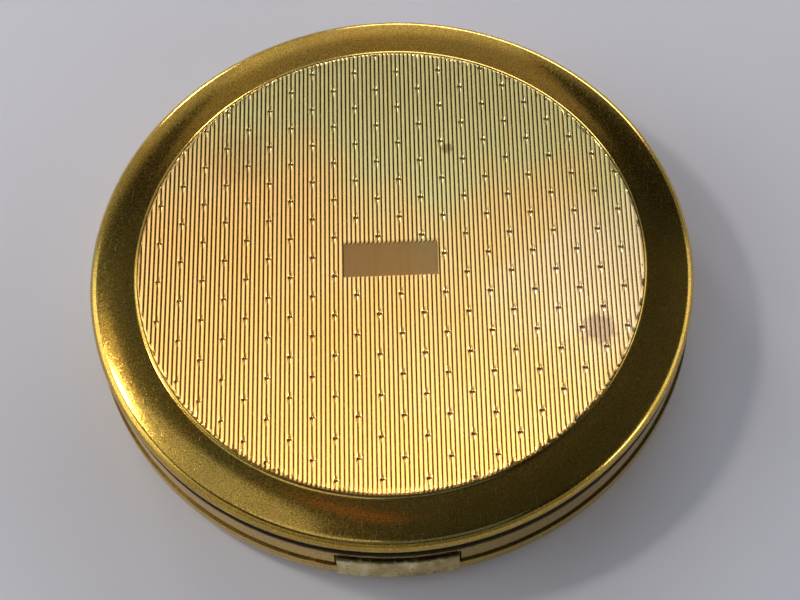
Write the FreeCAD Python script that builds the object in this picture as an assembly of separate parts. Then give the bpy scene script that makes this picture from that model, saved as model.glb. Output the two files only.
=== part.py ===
"""A round powder compact, lying shut on the face of its lid.

The case is two pressed, gilded brass pans that meet at PARTING_Z.  The lower pan is the lid, with
the mirror inside it and a thumb catch on its front.  The upper pan is the base: its engine-turned
face is the top of the part, and inside it a frame carries the powder well, the sifter, the puff and
the sprung inner lid.  Everything is round about the Z axis, the catch is at -Y and the hinge at +Y.
Millimetres, with z = 0 on the flat of the lid.
"""
import FreeCAD, Part
import math
import os
from FreeCAD import Vector

# ---- driving dimensions -------------------------------------------------------------------
CASE_RADIUS = 38.0          # the rim of the base and the wall of the lid
CASE_HEIGHT = 12.5          # from the lid's face to the base's face
PARTING_Z = 4.5             # the plane where the two pans meet
MOUTH_GAP = 0.1             # daylight between the two mouths
SHEET = 0.5                 # brass of the pans and the frame
THIN_SHEET = 0.4            # brass of the well, the sifter and the inner lid
PANEL_RADIUS = 31.5         # the flat, engine-turned panel of the base
LID_FLAT_RADIUS = 31.0      # the flat that the lid lies on
PLATE = (11.9, 4.8, 0.12)   # blank plate sunk in the panel: width, depth in y, sink
PLATE_CENTRE = (0.1, 0.3)

# ---- the base's pressing, as bends of the sheet (radius, degrees) --------------------------
STEP_RADIUS = 0.3           # the little step round the panel
STEP_SLOPE = 50.0
RING_SLOPES = (2.0, 14.0)   # the polished ring falls away from flat to this slope at the rim
RIM_DROP = 2.35             # the rim's widest point below the panel
UNDER_RADIUS = 0.55         # the rim's underside, which curls in
GROOVE_RADIUS = 0.3
UNDER_TURN = 80.0
SHOULDER_TURN = 50.0
SHOULDER_RADII = (0.4, 0.9)

# ---- the lid's pressing --------------------------------------------------------------------
LID_SHOULDER_RADIUS = 26.0
LID_SHOULDER_SLOPE = 11.0

# ---- the main hinge ------------------------------------------------------------------------
HINGE_Y = 37.6
HINGE_HALF_LENGTH = 8.0
BARREL_RADIUS = 1.0
PIN_RADIUS = 0.45
PIN_RUNNING_GAP = 0.05
KNUCKLE_GAP = 0.1
BASE_KNUCKLES = [(-8.0, -4.85), (-1.6, 1.6), (4.85, 8.0)]
LID_KNUCKLES = [(-4.75, -1.7), (1.7, 4.75)]

# ---- inside the base -----------------------------------------------------------------------
NECK_RADIUS = 37.22         # the frame's neck, which enters the lid
NECK_Z = (3.0, 8.0)
DECK_Z = 5.6                # underside of the frame's deck
WELL_RADIUS = 27.0
WELL_FLOOR_Z = 11.4
POWDER_Z = (8.6, 11.0)
SIFTER_RADIUS = 26.5
SIFTER_Z = (4.95, 8.5)
PUFF_RADIUS = 25.0
PUFF_Z = (5.5, 7.95)

# ---- the inner lid -------------------------------------------------------------------------
INNER_LID_RADIUS = 35.9
INNER_LID_Z = (4.4, 4.8)
INNER_HINGE_Y = 34.3
INNER_HINGE_Z = 4.45
INNER_BARREL_RADIUS = 0.75
INNER_PIN_RADIUS = 0.3
INNER_HINGE_HALF = 6.0

# ---- the mirror ----------------------------------------------------------------------------
MIRROR_RADIUS = 33.4
CARD_Z = (0.65, 0.95)
GLASS_Z = (0.95, 2.15)
BEZEL_Z = 2.5

# ---- the catch at the front ----------------------------------------------------------------
CATCH_RADII = (37.62, 38.12)        # almost flush with the case
CATCH_HALF_DEG = 11.2
CATCH_Z = (2.2, 7.0)
CATCH_FOOT = (37.4, 4.4)            # the thicker foot, let into the lid's wall: radius, top
NOTCH_HALF_DEG = 11.6
NOTCH_TOP_Z = 7.55
FRONT_DEG = -90.0


# ---- shape helpers -------------------------------------------------------------------------
def point(r, z):
    """A point of a profile: r out from the axis, z up."""
    return Vector(r, 0, z)


def walk(start, heading, moves):
    """Edges of a path in the XZ plane.  A move is ("go", length) or ("bend", radius, degrees),
    where positive degrees turn to the left.  Returns the edges and the end point and heading."""
    edges = []
    here = start
    for move in moves:
        a = math.radians(heading)
        if move[0] == "go":
            there = here + Vector(math.cos(a), 0, math.sin(a)) * move[1]
            edges.append(Part.LineSegment(here, there).toShape())
        else:
            radius, turn = move[1], move[2]
            side = 1.0 if turn > 0 else -1.0
            left = Vector(-math.sin(a), 0, math.cos(a))
            centre = here + left * (side * radius)
            spokes = []
            for share in (0.5, 1.0):
                b = a + math.radians(turn * share)
                spokes.append(centre - Vector(-math.sin(b), 0, math.cos(b)) * (side * radius))
            edges.append(Part.Arc(here, spokes[0], spokes[1]).toShape())
            there = spokes[1]
            heading += turn
        here = there
    return edges, here, heading


def sheet_of_revolution(start, heading, moves, thickness, left=True):
    """A pressed sheet turned about Z.  The moves draw one face, and the other lies `thickness` to
    its left or right: a bend's radius is smaller inside the turn and larger outside it."""
    side = 1.0 if left else -1.0
    a = math.radians(heading)
    other_start = start + Vector(-math.sin(a), 0, math.cos(a)) * (side * thickness)
    other_moves = []
    for move in moves:
        if move[0] == "go":
            other_moves.append(move)
        else:
            inside = 1.0 if move[2] * side > 0 else -1.0
            other_moves.append(("bend", move[1] - inside * thickness, move[2]))
    face_a, end_a, _ = walk(start, heading, moves)
    face_b, end_b, _ = walk(other_start, heading, other_moves)
    caps = [Part.LineSegment(end_a, end_b).toShape(), Part.LineSegment(other_start, start).toShape()]
    outline = Part.Wire(Part.__sortEdges__(face_a + face_b + caps))
    return Part.Face(outline).revolve(Vector(0, 0, 0), Vector(0, 0, 1), 360)


def disc(radius, z):
    """A plain round plate between two heights."""
    return Part.makeCylinder(radius, z[1] - z[0], Vector(0, 0, z[0]))


def ring(inner, outer, z):
    """A plain round ring between two radii and two heights."""
    return disc(outer, z).cut(disc(inner, (z[0] - 1, z[1] + 1)))


def sector(radii, z, half_deg, middle_deg):
    """A piece of a ring: a plate curved about Z, centred on one direction."""
    blank = Part.makeCylinder(radii[1], z[1] - z[0], Vector(0, 0, z[0]), Vector(0, 0, 1), 2 * half_deg)
    core = Part.makeCylinder(radii[0], z[1] - z[0] + 2, Vector(0, 0, z[0] - 1))
    piece = blank.cut(core)
    piece.rotate(Vector(0, 0, 0), Vector(0, 0, 1), middle_deg - half_deg)
    return piece


def bar(x, y, z):
    """A box from three (low, high) pairs."""
    return Part.makeBox(x[1] - x[0], y[1] - y[0], z[1] - z[0], Vector(x[0], y[0], z[0]))


def rod_x(radius, x, y, z):
    """A round bar along X."""
    return Part.makeCylinder(radius, x[1] - x[0], Vector(x[0], y, z), Vector(1, 0, 0))


def joined(shapes):
    """One solid of several that touch."""
    whole = shapes[0]
    for shape in shapes[1:]:
        whole = whole.fuse(shape)
    return whole.removeSplitter()


# ---- the base ------------------------------------------------------------------------------
def base_moves():
    """The bends of the base's outer face, from the axis out and down to its mouth."""
    step = math.radians(STEP_SLOPE)
    flat, steep = (math.radians(s) for s in RING_SLOPES)
    foot = STEP_RADIUS + SHEET
    step_out = STEP_RADIUS * math.sin(step) + foot * (math.sin(step) - math.sin(flat))
    step_drop = STEP_RADIUS * (1 - math.cos(step)) + foot * (math.cos(flat) - math.cos(step))
    # The ring's and the rim's radii follow from the case radius and the drop to the rim.
    width = CASE_RADIUS - PANEL_RADIUS - step_out
    drop = RIM_DROP - step_drop
    ring_out = math.sin(steep) - math.sin(flat)
    ring_down = math.cos(flat) - math.cos(steep)
    rim_out = 1 - math.sin(steep)
    rim_down = math.cos(steep)
    rim_radius = (drop * ring_out - width * ring_down) / (rim_down * ring_out - rim_out * ring_down)
    ring_radius = (width - rim_out * rim_radius) / ring_out
    bends = [
        ("go", PANEL_RADIUS),
        ("bend", STEP_RADIUS, -STEP_SLOPE),
        ("bend", foot, STEP_SLOPE - RING_SLOPES[0]),
        ("bend", ring_radius, RING_SLOPES[0] - RING_SLOPES[1]),
        ("bend", rim_radius, RING_SLOPES[1] - 90),
        ("bend", UNDER_RADIUS, -UNDER_TURN),
        ("bend", GROOVE_RADIUS, UNDER_TURN),
        ("bend", SHOULDER_RADII[0], SHOULDER_TURN),
        ("bend", SHOULDER_RADII[1], -SHOULDER_TURN),
    ]
    return bends


def base_shell():
    """The base pan: panel, polished ring, rolled rim, groove and wall, in one pressing."""
    start = point(0, CASE_HEIGHT)
    _, corner, _ = walk(start, 0, base_moves())
    wall = corner.z - (PARTING_Z + MOUTH_GAP / 2)
    pan = sheet_of_revolution(start, 0, base_moves() + [("go", wall)], SHEET, left=False)
    width, depth, sink = PLATE
    plate = bar((-width / 2, width / 2), (-depth / 2, depth / 2), (CASE_HEIGHT - sink, CASE_HEIGHT + 1))
    plate.translate(Vector(PLATE_CENTRE[0], PLATE_CENTRE[1], 0))
    thumb_notch = sector((36.0, 39.0), (PARTING_Z - 1, NOTCH_TOP_Z), NOTCH_HALF_DEG, FRONT_DEG)
    hinge_notch = bar((-8.3, 8.3), (30.0, 40.0), (PARTING_Z - 1, PARTING_Z + 1.6))
    return pan.cut(plate).cut(thumb_notch).cut(hinge_notch)


def inner_frame():
    """The deck round the powder well, with the neck that the lid shuts over."""
    neck = ring(NECK_RADIUS - SHEET, NECK_RADIUS, NECK_Z)
    deck = ring(WELL_RADIUS + 0.1, NECK_RADIUS - SHEET, (DECK_Z, DECK_Z + SHEET))
    hinge_room = ring(NECK_RADIUS - SHEET, CASE_RADIUS, (2.0, 9.0)).common(
        bar((-8.4, 8.4), (30.0, 40.0), (2.0, 9.0)))
    return joined([neck, deck]).cut(hinge_room)


def powder_well():
    """The pan that holds the powder, hung by its flange from the deck."""
    wall = ring(WELL_RADIUS - THIN_SHEET, WELL_RADIUS, (DECK_Z - THIN_SHEET, WELL_FLOOR_Z))
    floor = disc(WELL_RADIUS, (WELL_FLOOR_Z - THIN_SHEET, WELL_FLOOR_Z))
    flange = ring(WELL_RADIUS, WELL_RADIUS + 1.4, (DECK_Z - THIN_SHEET, DECK_Z))
    return joined([wall, floor, flange])


def hinge_leaf(knuckles, others, plate, arm_z, bore):
    """Half of the main hinge: a curved plate, and knuckles joined to it by short arms."""
    pieces = [plate]
    for x in knuckles:
        pieces.append(bar(x, (plate.BoundBox.YMin + 0.05, HINGE_Y), arm_z))
        pieces.append(rod_x(BARREL_RADIUS, x, HINGE_Y, PARTING_Z))
    leaf = joined(pieces)
    for x in others:
        room = (x[0] - KNUCKLE_GAP, x[1] + KNUCKLE_GAP)
        leaf = leaf.cut(rod_x(BARREL_RADIUS + KNUCKLE_GAP, room, HINGE_Y, PARTING_Z))
    return leaf.cut(rod_x(bore, (-10, 10), HINGE_Y, PARTING_Z))


def curved_plate(radii, z, half_width):
    """A hinge leaf's plate, curved to the inside of the wall at the back."""
    return ring(radii[0], radii[1], z).common(bar((-half_width, half_width), (30, 40), z))


def base_hinge_leaf():
    """The base's three knuckles on their plate."""
    plate = curved_plate((36.8, 37.26), (PARTING_Z + 0.4, 7.9), HINGE_HALF_LENGTH)
    return hinge_leaf(BASE_KNUCKLES, LID_KNUCKLES, plate, (PARTING_Z + 0.4, PARTING_Z + 1.0),
                      PIN_RADIUS)


def lid_hinge_leaf():
    """The lid's two knuckles on their plate."""
    plate = curved_plate((37.1, 37.55), (2.95, PARTING_Z - 0.4), HINGE_HALF_LENGTH)
    return hinge_leaf(LID_KNUCKLES, BASE_KNUCKLES, plate, (PARTING_Z - 1.0, PARTING_Z - 0.4),
                      PIN_RADIUS + PIN_RUNNING_GAP)


def hinge_pin():
    """The steel pin through all five knuckles."""
    return rod_x(PIN_RADIUS, (-HINGE_HALF_LENGTH, HINGE_HALF_LENGTH), HINGE_Y, PARTING_Z)


# ---- powder, sifter and puff ---------------------------------------------------------------
def powder_cake():
    """The fill of face powder."""
    return disc(WELL_RADIUS - THIN_SHEET - 0.05, POWDER_Z)


def sifter_ring():
    """The sifter's cup: a lip on the well's flange, a wall, and a ledge under the gauze."""
    lip = ring(SIFTER_RADIUS - THIN_SHEET, WELL_RADIUS + 0.6, (SIFTER_Z[0], SIFTER_Z[0] + 0.22))
    wall = ring(SIFTER_RADIUS - THIN_SHEET, SIFTER_RADIUS, SIFTER_Z)
    ledge = ring(SIFTER_RADIUS - 1.6, SIFTER_RADIUS, (SIFTER_Z[1] - 0.25, SIFTER_Z[1]))
    return joined([lip, wall, ledge])


def sifter_gauze():
    """The fine net that the powder is shaken through."""
    return disc(SIFTER_RADIUS - THIN_SHEET - 0.05, (SIFTER_Z[1] - 0.45, SIFTER_Z[1] - 0.25))


def sifter_hoop():
    """The hoop pressed into the cup, which clamps the gauze."""
    outer = SIFTER_RADIUS - THIN_SHEET - 0.02
    return ring(outer - 0.4, outer, (SIFTER_Z[0] + 0.6, SIFTER_Z[1] - 0.45))


def puff_pad():
    """The velour face of the puff, with a rounded edge."""
    pad = disc(PUFF_RADIUS, (PUFF_Z[0] + 0.4, PUFF_Z[1]))
    return pad.makeFillet(0.8, [pad.Edges[i] for i in (0, 2) if pad.Edges[i].CenterOfMass.z > 7])


def puff_backing():
    """The satin back of the puff."""
    return disc(PUFF_RADIUS, (PUFF_Z[0], PUFF_Z[0] + 0.4))


def puff_ribbon():
    """The flat ribbon sewn across the back, which the fingers slip under."""
    return bar((-19.0, 19.0), (-3.5, 3.5), (PUFF_Z[0] - 0.35, PUFF_Z[0]))


# ---- the inner lid -------------------------------------------------------------------------
def inner_lid():
    """The flat door over the powder, with its two knuckles and a tab that the lid presses on."""
    door = disc(INNER_LID_RADIUS, INNER_LID_Z)
    door = door.cut(bar((-40, 40), (INNER_HINGE_Y - 1.2, 40), (0, 12)))
    pieces = [door]
    for x in ((-3.0, -1.5), (1.5, 3.0)):
        pieces.append(bar(x, (INNER_HINGE_Y - 1.5, INNER_HINGE_Y), INNER_LID_Z))
        pieces.append(rod_x(INNER_BARREL_RADIUS, x, INNER_HINGE_Y, INNER_HINGE_Z))
    leaf = joined(pieces)
    return leaf.cut(rod_x(INNER_PIN_RADIUS + PIN_RUNNING_GAP, (-8, 8), INNER_HINGE_Y, INNER_HINGE_Z))


def inner_lid_tab():
    """The finger tab on the door's front edge."""
    return sector((INNER_LID_RADIUS - 1.1, INNER_LID_RADIUS - 0.3), (BEZEL_Z + 0.2, INNER_LID_Z[0]),
                  6.0, FRONT_DEG)


def inner_hinge_bracket():
    """The bracket under the deck that carries the inner lid's pin."""
    plate = bar((-INNER_HINGE_HALF, INNER_HINGE_HALF), (31.6, 35.6), (DECK_Z - 0.25, DECK_Z))
    pieces = [plate]
    for x in ((-INNER_HINGE_HALF, -3.1), (3.1, INNER_HINGE_HALF)):
        pieces.append(bar(x, (INNER_HINGE_Y - 0.5, INNER_HINGE_Y + 0.5), (INNER_HINGE_Z, DECK_Z)))
        pieces.append(rod_x(INNER_BARREL_RADIUS, x, INNER_HINGE_Y, INNER_HINGE_Z))
    return joined(pieces).cut(rod_x(INNER_PIN_RADIUS, (-8, 8), INNER_HINGE_Y, INNER_HINGE_Z))


def inner_hinge_pin():
    """The inner lid's pin."""
    return rod_x(INNER_PIN_RADIUS, (-INNER_HINGE_HALF, INNER_HINGE_HALF), INNER_HINGE_Y, INNER_HINGE_Z)


def inner_lid_spring():
    """The torsion spring on the inner pin, which lifts the inner lid as the case opens."""
    wire, coil, pitch, turns = 0.1, 0.46, 0.4, 5
    helix = Part.makeHelix(pitch, pitch * turns, coil)
    section = Part.Wire(Part.makeCircle(wire, Vector(coil, 0, 0), Vector(0, 1, 0)))
    body = Part.Wire(helix.Edges).makePipeShell([section], True, True)
    legs = [Part.makeCylinder(wire, 1.4, Vector(coil, 0, 0), Vector(0, -1, 0)),
            Part.makeCylinder(wire, 1.2, Vector(coil, 0, pitch * turns), Vector(0, 1, 0))]
    spring = Part.makeCompound([body] + legs)
    spring.rotate(Vector(0, 0, 0), Vector(0, 1, 0), -90)
    spring.translate(Vector(pitch * turns / 2, INNER_HINGE_Y, INNER_HINGE_Z))
    return spring


# ---- the lid -------------------------------------------------------------------------------
def lid_moves():
    """The bends of the lid's outer face, from the axis out and up to its wall."""
    slope = math.radians(LID_SHOULDER_SLOPE)
    shoulder_out = LID_SHOULDER_RADIUS * math.sin(slope)
    edge_radius = (CASE_RADIUS - LID_FLAT_RADIUS - shoulder_out) / (1 - math.sin(slope))
    return [
        ("go", LID_FLAT_RADIUS),
        ("bend", LID_SHOULDER_RADIUS, LID_SHOULDER_SLOPE),
        ("bend", edge_radius, 90 - LID_SHOULDER_SLOPE),
    ]


def lid_shell():
    """The lid pan, a shallow dish with a flat face."""
    _, corner, _ = walk(point(0, 0), 0, lid_moves())
    wall = PARTING_Z - MOUTH_GAP / 2 - corner.z
    pan = sheet_of_revolution(point(0, 0), 0, lid_moves() + [("go", wall)], SHEET - 0.05)
    hinge_notch = bar((-8.3, 8.3), (30.0, 40.0), (PARTING_Z - 1.1, PARTING_Z + 1))
    catch_notch = sector((36.5, 39.0), (CATCH_Z[0], PARTING_Z + 1), CATCH_HALF_DEG, FRONT_DEG)
    return pan.cut(hinge_notch).cut(catch_notch)


def lid_catch():
    """The thumb catch: a curved plate let into the lid's wall, which reaches up into the notch in
    the base's wall, with a nose behind its upper edge."""
    plate = sector(CATCH_RADII, CATCH_Z, CATCH_HALF_DEG, FRONT_DEG)
    foot = sector((CATCH_FOOT[0], CATCH_RADII[1]), (CATCH_Z[0], CATCH_FOOT[1]), CATCH_HALF_DEG, FRONT_DEG)
    nose = sector((37.53, CATCH_RADII[0] + 0.1), (6.45, 6.85), 5.0, FRONT_DEG)
    return joined([plate, foot, nose])


def latch_spring():
    """The leaf behind the catch, whose bump the catch's nose snaps over."""
    leaf = sector((37.23, 37.36), (4.9, 6.4), 9.0, FRONT_DEG)
    bump = sector((37.36, 37.5), (5.6, 6.3), 4.0, FRONT_DEG)
    spring = joined([leaf, bump])
    for hole in rivet_rods(0.4, 37.0, 38.0):
        spring = spring.cut(hole)
    return spring


def rivet_rods(radius, inner, outer):
    """Two round bars through the latch's ends, pointing out from the case's axis."""
    rods = []
    for side in (-1, 1):
        a = math.radians(FRONT_DEG + side * 7.4)
        out = Vector(math.cos(a), math.sin(a), 0)
        rods.append(Part.makeCylinder(radius, outer - inner, out * inner + Vector(0, 0, 5.7), out))
    return rods


def latch_rivets():
    """Two headed studs on the neck that carry the latch spring."""
    rivets = []
    for shank, head in zip(rivet_rods(0.35, 37.2, 37.45), rivet_rods(0.55, 37.38, 37.5)):
        rivets.append(joined([shank, head]))
    return Part.makeCompound(rivets)


def mirror_card():
    """The card that the mirror beds on."""
    return disc(MIRROR_RADIUS, CARD_Z)


def mirror_glass():
    """The round mirror."""
    return disc(MIRROR_RADIUS, GLASS_Z)


def mirror_bezel():
    """The gilt ring that holds the mirror and covers the gap to the wall."""
    face = ring(MIRROR_RADIUS - 0.8, 36.2, (GLASS_Z[1], BEZEL_Z))
    seat = ring(MIRROR_RADIUS + 0.1, MIRROR_RADIUS + 0.5, (0.8, BEZEL_Z))
    skirt = ring(35.9, 36.2, (1.3, BEZEL_Z))
    return joined([face, seat, skirt])


PIECES = [
    base_shell, inner_frame, powder_well, powder_cake, base_hinge_leaf, hinge_pin,
    inner_hinge_bracket, inner_hinge_pin, inner_lid_spring, latch_spring, latch_rivets,
    sifter_ring, sifter_gauze, sifter_hoop, puff_pad, puff_backing, puff_ribbon,
    inner_lid, inner_lid_tab,
    lid_shell, lid_catch, lid_hinge_leaf, mirror_card, mirror_glass, mirror_bezel,
]

if __name__ == "__main__":
    os.makedirs("parts", exist_ok=True)
    for piece in PIECES:
        shape = piece()
        shape.exportStep(f"parts/{piece.__name__}.step")
        print(f"{piece.__name__:22s} {shape.Volume:10.2f} mm3  solids {len(shape.Solids)}"
              f"  valid {shape.isValid()}")
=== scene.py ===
import math
import bmesh
import bpy
import numpy as np
from mathutils import Euler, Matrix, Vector


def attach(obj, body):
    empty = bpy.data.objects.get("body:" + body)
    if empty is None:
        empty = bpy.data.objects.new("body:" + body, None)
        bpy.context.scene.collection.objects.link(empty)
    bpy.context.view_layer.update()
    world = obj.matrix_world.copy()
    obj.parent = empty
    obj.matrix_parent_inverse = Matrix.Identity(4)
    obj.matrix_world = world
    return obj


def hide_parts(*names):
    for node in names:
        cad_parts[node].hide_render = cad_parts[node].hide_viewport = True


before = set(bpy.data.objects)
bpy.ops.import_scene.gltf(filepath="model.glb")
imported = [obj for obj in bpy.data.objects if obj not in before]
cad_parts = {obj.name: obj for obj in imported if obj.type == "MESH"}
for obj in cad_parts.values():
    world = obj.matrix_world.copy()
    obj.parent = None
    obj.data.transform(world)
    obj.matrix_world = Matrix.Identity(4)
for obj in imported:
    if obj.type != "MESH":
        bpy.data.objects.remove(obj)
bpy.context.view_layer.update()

# %% [markdown]
# # A gilded powder compact
# The real object is a case for loose face powder, pressed from thin brass sheet and gilded.  It lies
# shut on the face of its lid, so the top of the model is the base: a flat panel cut by a lathe-like
# engine into fine ribs, a polished ring round it, a rolled rim, a wall, and a thumb catch in front.
# Inside are a mirror, a sprung inner lid, a sifter, a puff and the powder.
#
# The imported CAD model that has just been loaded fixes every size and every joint.  This lesson gives
# each part the surface and the finish of the real one.  All sizes below are in millimetres and are
# turned into Blender's metres in one place, where a mesh is made.

# %% Small helpers for numbers and colours
MM = 0.001
FULL_TURN = 2 * math.pi


def linear(hex_colour):
    """An sRGB hex colour as linear red, green, blue and alpha.  Each channel is divided by 12.92
    near black, and elsewhere raised to the power 2.4 after its offset is taken off."""
    srgb = np.array([int(hex_colour[i:i + 2], 16) for i in (1, 3, 5)]) / 255
    rgb = np.where(srgb <= 0.04045, srgb / 12.92, ((srgb + 0.055) / 1.055) ** 2.4)
    return (*rgb.tolist(), 1.0)


def even_angles(count):
    """Angles evenly spaced round a full turn."""
    return np.arange(count) * FULL_TURN / count


def rectangle(first, second):
    """The corners of a rectangle from two (low, high) pairs, in order round it."""
    return [(first[0], second[0]), (first[1], second[0]), (first[1], second[1]), (first[0], second[1])]


def smoothstep(low, high, values):
    """0 below low, 1 above high, and an S-shaped cubic between them."""
    t = np.clip((values - low) / (high - low), 0, 1)
    return t * t * (3 - 2 * t)


print("gold's red channel, linear:", round(linear("#E9C46A")[0], 3))

# %% [markdown]
# ## From arrays to meshes
# Nearly every part of a compact is turned, drawn or rolled, so its surface is a grid: a row of
# sections, each a closed loop of points.  A modelling tool such as Spin makes one such shape at a
# time.  Working the grid out with numpy makes them all in one way, and lets the outline carry the
# exact bends of the pressing.  Two mesh makers are enough: `mesh_piece` puts any arrays into a mesh,
# and `loft` joins a row of loops.

# %% Two mesh makers
SHARP = math.radians(32)


def mesh_piece(name, points, quads, triangles=()):
    """A mesh object from points in millimetres and index arrays.  Points that coincide, as at a
    pole, are merged, all faces are turned outwards, and edges sharper than SHARP stay crisp."""
    mesh = bpy.data.meshes.new(name)
    faces = np.asarray(quads).tolist() + np.asarray(triangles).tolist()
    mesh.from_pydata((np.asarray(points) * MM).tolist(), [], faces)
    tidy = bmesh.new()
    tidy.from_mesh(mesh)
    bmesh.ops.remove_doubles(tidy, verts=tidy.verts, dist=0.0005 * MM)
    bmesh.ops.recalc_face_normals(tidy, faces=tidy.faces)
    tidy.to_mesh(mesh)
    tidy.free()
    mesh.shade_smooth()
    mesh.set_sharp_from_angle(angle=SHARP)
    piece = bpy.data.objects.new(name, mesh)
    bpy.context.scene.collection.objects.link(piece)
    return piece


def grid_faces(rows, columns, wrap_rows, wrap_columns):
    """Quads of a grid of points numbered row by row: each joins a point to the next one in its row,
    and both to the row after.  A wrapped direction goes on from the last line to the first."""
    i = np.arange(rows if wrap_rows else rows - 1)[:, None]
    j = np.arange(columns if wrap_columns else columns - 1)[None, :]
    i_next, j_next = (i + 1) % rows, (j + 1) % columns
    corners = [i * columns + j, i_next * columns + j, i_next * columns + j_next, i * columns + j_next]
    return np.stack(np.broadcast_arrays(*corners), -1).reshape(-1, 4)


def loft(name, loops, ring=False):
    """A closed solid through a row of closed loops, an array of loop, point and x, y, z.  A ring
    joins its last loop to its first.  Otherwise each end is closed by a fan to its middle point."""
    count, size = loops.shape[:2]
    quads = grid_faces(count, size, ring, True)
    points = loops.reshape(-1, 3)
    if ring:
        return mesh_piece(name, points, quads)
    ends = np.stack([loops[0].mean(0), loops[-1].mean(0)])
    around = np.arange(size)
    ahead = (around + 1) % size
    first = np.stack([around, ahead, np.full(size, len(points))], -1)
    last = np.stack([around, ahead, np.full(size, len(points) + 1)], -1) + [
        (count - 1) * size, (count - 1) * size, 0]
    return mesh_piece(name, np.concatenate([points, ends]), quads, np.concatenate([first, last]))


print("a grid of 3 by 4 points has", len(grid_faces(3, 4, False, False)), "quads")

# %% [markdown]
# ## Outlines of pressed sheet
# A press bends sheet brass, so an outline is a walk: straight runs and arcs, each arc leaving in the
# direction in which the last piece arrived.  `bends` walks it and `two_faced` gives the sheet its
# thickness by shifting every point along its own normal.  `turned` spins an outline about the Z
# axis.  The steps are finer than an eye can see, because polished metal shows every flat.

# %% Outlines and turning
def bends(start, heading, moves, degrees=2.5):
    """Points (r, z) and headings along a walk.  A move is ("go", length) or ("bend", radius, turn),
    and a positive turn is to the left.  A bend may add its own step in degrees.  On an arc the
    point is its centre plus the radius along the normal, for headings spaced evenly over the turn."""
    points, headings = [np.array([start])], [np.array([heading])]
    here, angle = np.array(start, float), math.radians(heading)
    for move in moves:
        if move[0] == "go":
            angles = np.array([angle, angle])
            steps = np.linspace(0, move[1], 2)[:, None] * [math.cos(angle), math.sin(angle)]
            path = here + steps
        else:
            radius, turn = move[1], math.radians(move[2])
            step = move[3] if len(move) > 3 else degrees
            angles = angle + np.linspace(0, turn, max(3, int(abs(move[2]) / step) + 1))
            normals = np.stack([-np.sin(angles), np.cos(angles)], -1) * np.sign(turn)
            path = here + radius * (normals[0] - normals)
        points.append(path[1:])
        headings.append(np.degrees(angles[1:]))
        here, angle = path[-1], angles[-1]
    return np.concatenate(points), np.concatenate(headings)


def two_faced(face, headings, thickness):
    """The closed outline of a sheet from the points and headings of one face: the other face is
    shifted along the normals, to the left of the walk, or to its right if negative."""
    angle = np.radians(headings)
    back = face + thickness * np.stack([-np.sin(angle), np.cos(angle)], -1)
    return np.concatenate([face, back[::-1]])


def rounded(corners, radius, steps=4):
    """A closed outline with every corner rounded: each becomes an arc drawn as a quadratic curve
    from one side to the other, starting `radius` before the corner.  A radius can be given for each
    corner, and 0 keeps it sharp."""
    corners = np.asarray(corners, float)
    radii = np.broadcast_to(radius, len(corners))[:, None, None]
    before = np.roll(corners, 1, 0) - corners
    after = np.roll(corners, -1, 0) - corners
    before /= np.linalg.norm(before, axis=1, keepdims=True)
    after /= np.linalg.norm(after, axis=1, keepdims=True)
    t = np.linspace(0, 1, steps)[None, :, None]
    curve = (1 - t) ** 2 * before[:, None] + t ** 2 * after[:, None]
    return (corners[:, None] + radii * curve).reshape(-1, 2)


def spun(outline, angles):
    """Loops of an outline (r, z) turned about Z: x = r cos a, y = r sin a."""
    r, z = np.asarray(outline).T
    a = np.asarray(angles)[:, None]
    return np.stack([r * np.cos(a), r * np.sin(a), np.broadcast_to(z, (len(angles), len(z)))], -1)


def turned(name, outline, segments=256):
    """A closed ring or disc: an outline turned all the way round."""
    return loft(name, spun(outline, even_angles(segments)), ring=True)


def turned_about_x(name, outline, y, z, segments=48):
    """A part turned about a line along X: the outline's (r, along) becomes
    x = along, y = y + r cos a, z = z + r sin a."""
    loops = spun(outline, even_angles(segments))
    placed = np.stack([loops[..., 2], y + loops[..., 0], z + loops[..., 1]], -1)
    return loft(name, placed, ring=True)


print("a quarter bend of radius 1 ends at", bends((0, 0), 0, [("bend", 1, 90)])[0][-1].round(3))

# %% [markdown]
# ## Cutting openings
# The pans have a notch for the thumb and one for the hinge.  On the real case they are sheared out
# of the finished pressing, and a Boolean modifier does the same: a solid in the shape of the punch
# is taken away.  Its result is applied, so that the piece is plain mesh again.

# %% The punch
def block(x, y, z):
    """The corner points and quads of a box from three (low, high) pairs."""
    points = np.stack(np.meshgrid(x, y, z, indexing="ij"), -1).reshape(-1, 3)
    quads = [(0, 1, 3, 2), (4, 6, 7, 5), (0, 4, 5, 1), (2, 3, 7, 6), (0, 2, 6, 4), (1, 5, 7, 3)]
    return points, quads


def arc_block(radii, z, middle, half):
    """Loops of a plate curved about Z, centred on one direction, in degrees."""
    return spun(rectangle(radii, z), np.radians(np.linspace(middle - half, middle + half, 25)))


def punched(piece, cutter):
    """Takes the cutter's shape out of the piece, applies the result and removes the cutter."""
    cut = piece.modifiers.new("punch", "BOOLEAN")
    cut.object, cut.operation, cut.solver = cutter, "DIFFERENCE", "EXACT"
    result = bpy.data.meshes.new_from_object(
        piece.evaluated_get(bpy.context.evaluated_depsgraph_get()))
    assert len(result.polygons), f"the punch left nothing of {piece.name}"
    piece.modifiers.clear()
    piece.data = result
    result.shade_smooth()
    result.set_sharp_from_angle(angle=SHARP)
    bpy.data.objects.remove(cutter)
    return piece


FRONT = -90.0
print("a box has", len(block((0, 1), (0, 1), (0, 1))[1]), "faces")

# %% [markdown]
# ## Nodes and finishes
# A finish is a node tree.  `node` adds one node with its settings and links, so a tree reads from
# top to bottom like a recipe.  Every pattern reads Object coordinates, which are metres in the
# model's own frame, so a pattern's scale is one over its real size.

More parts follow.
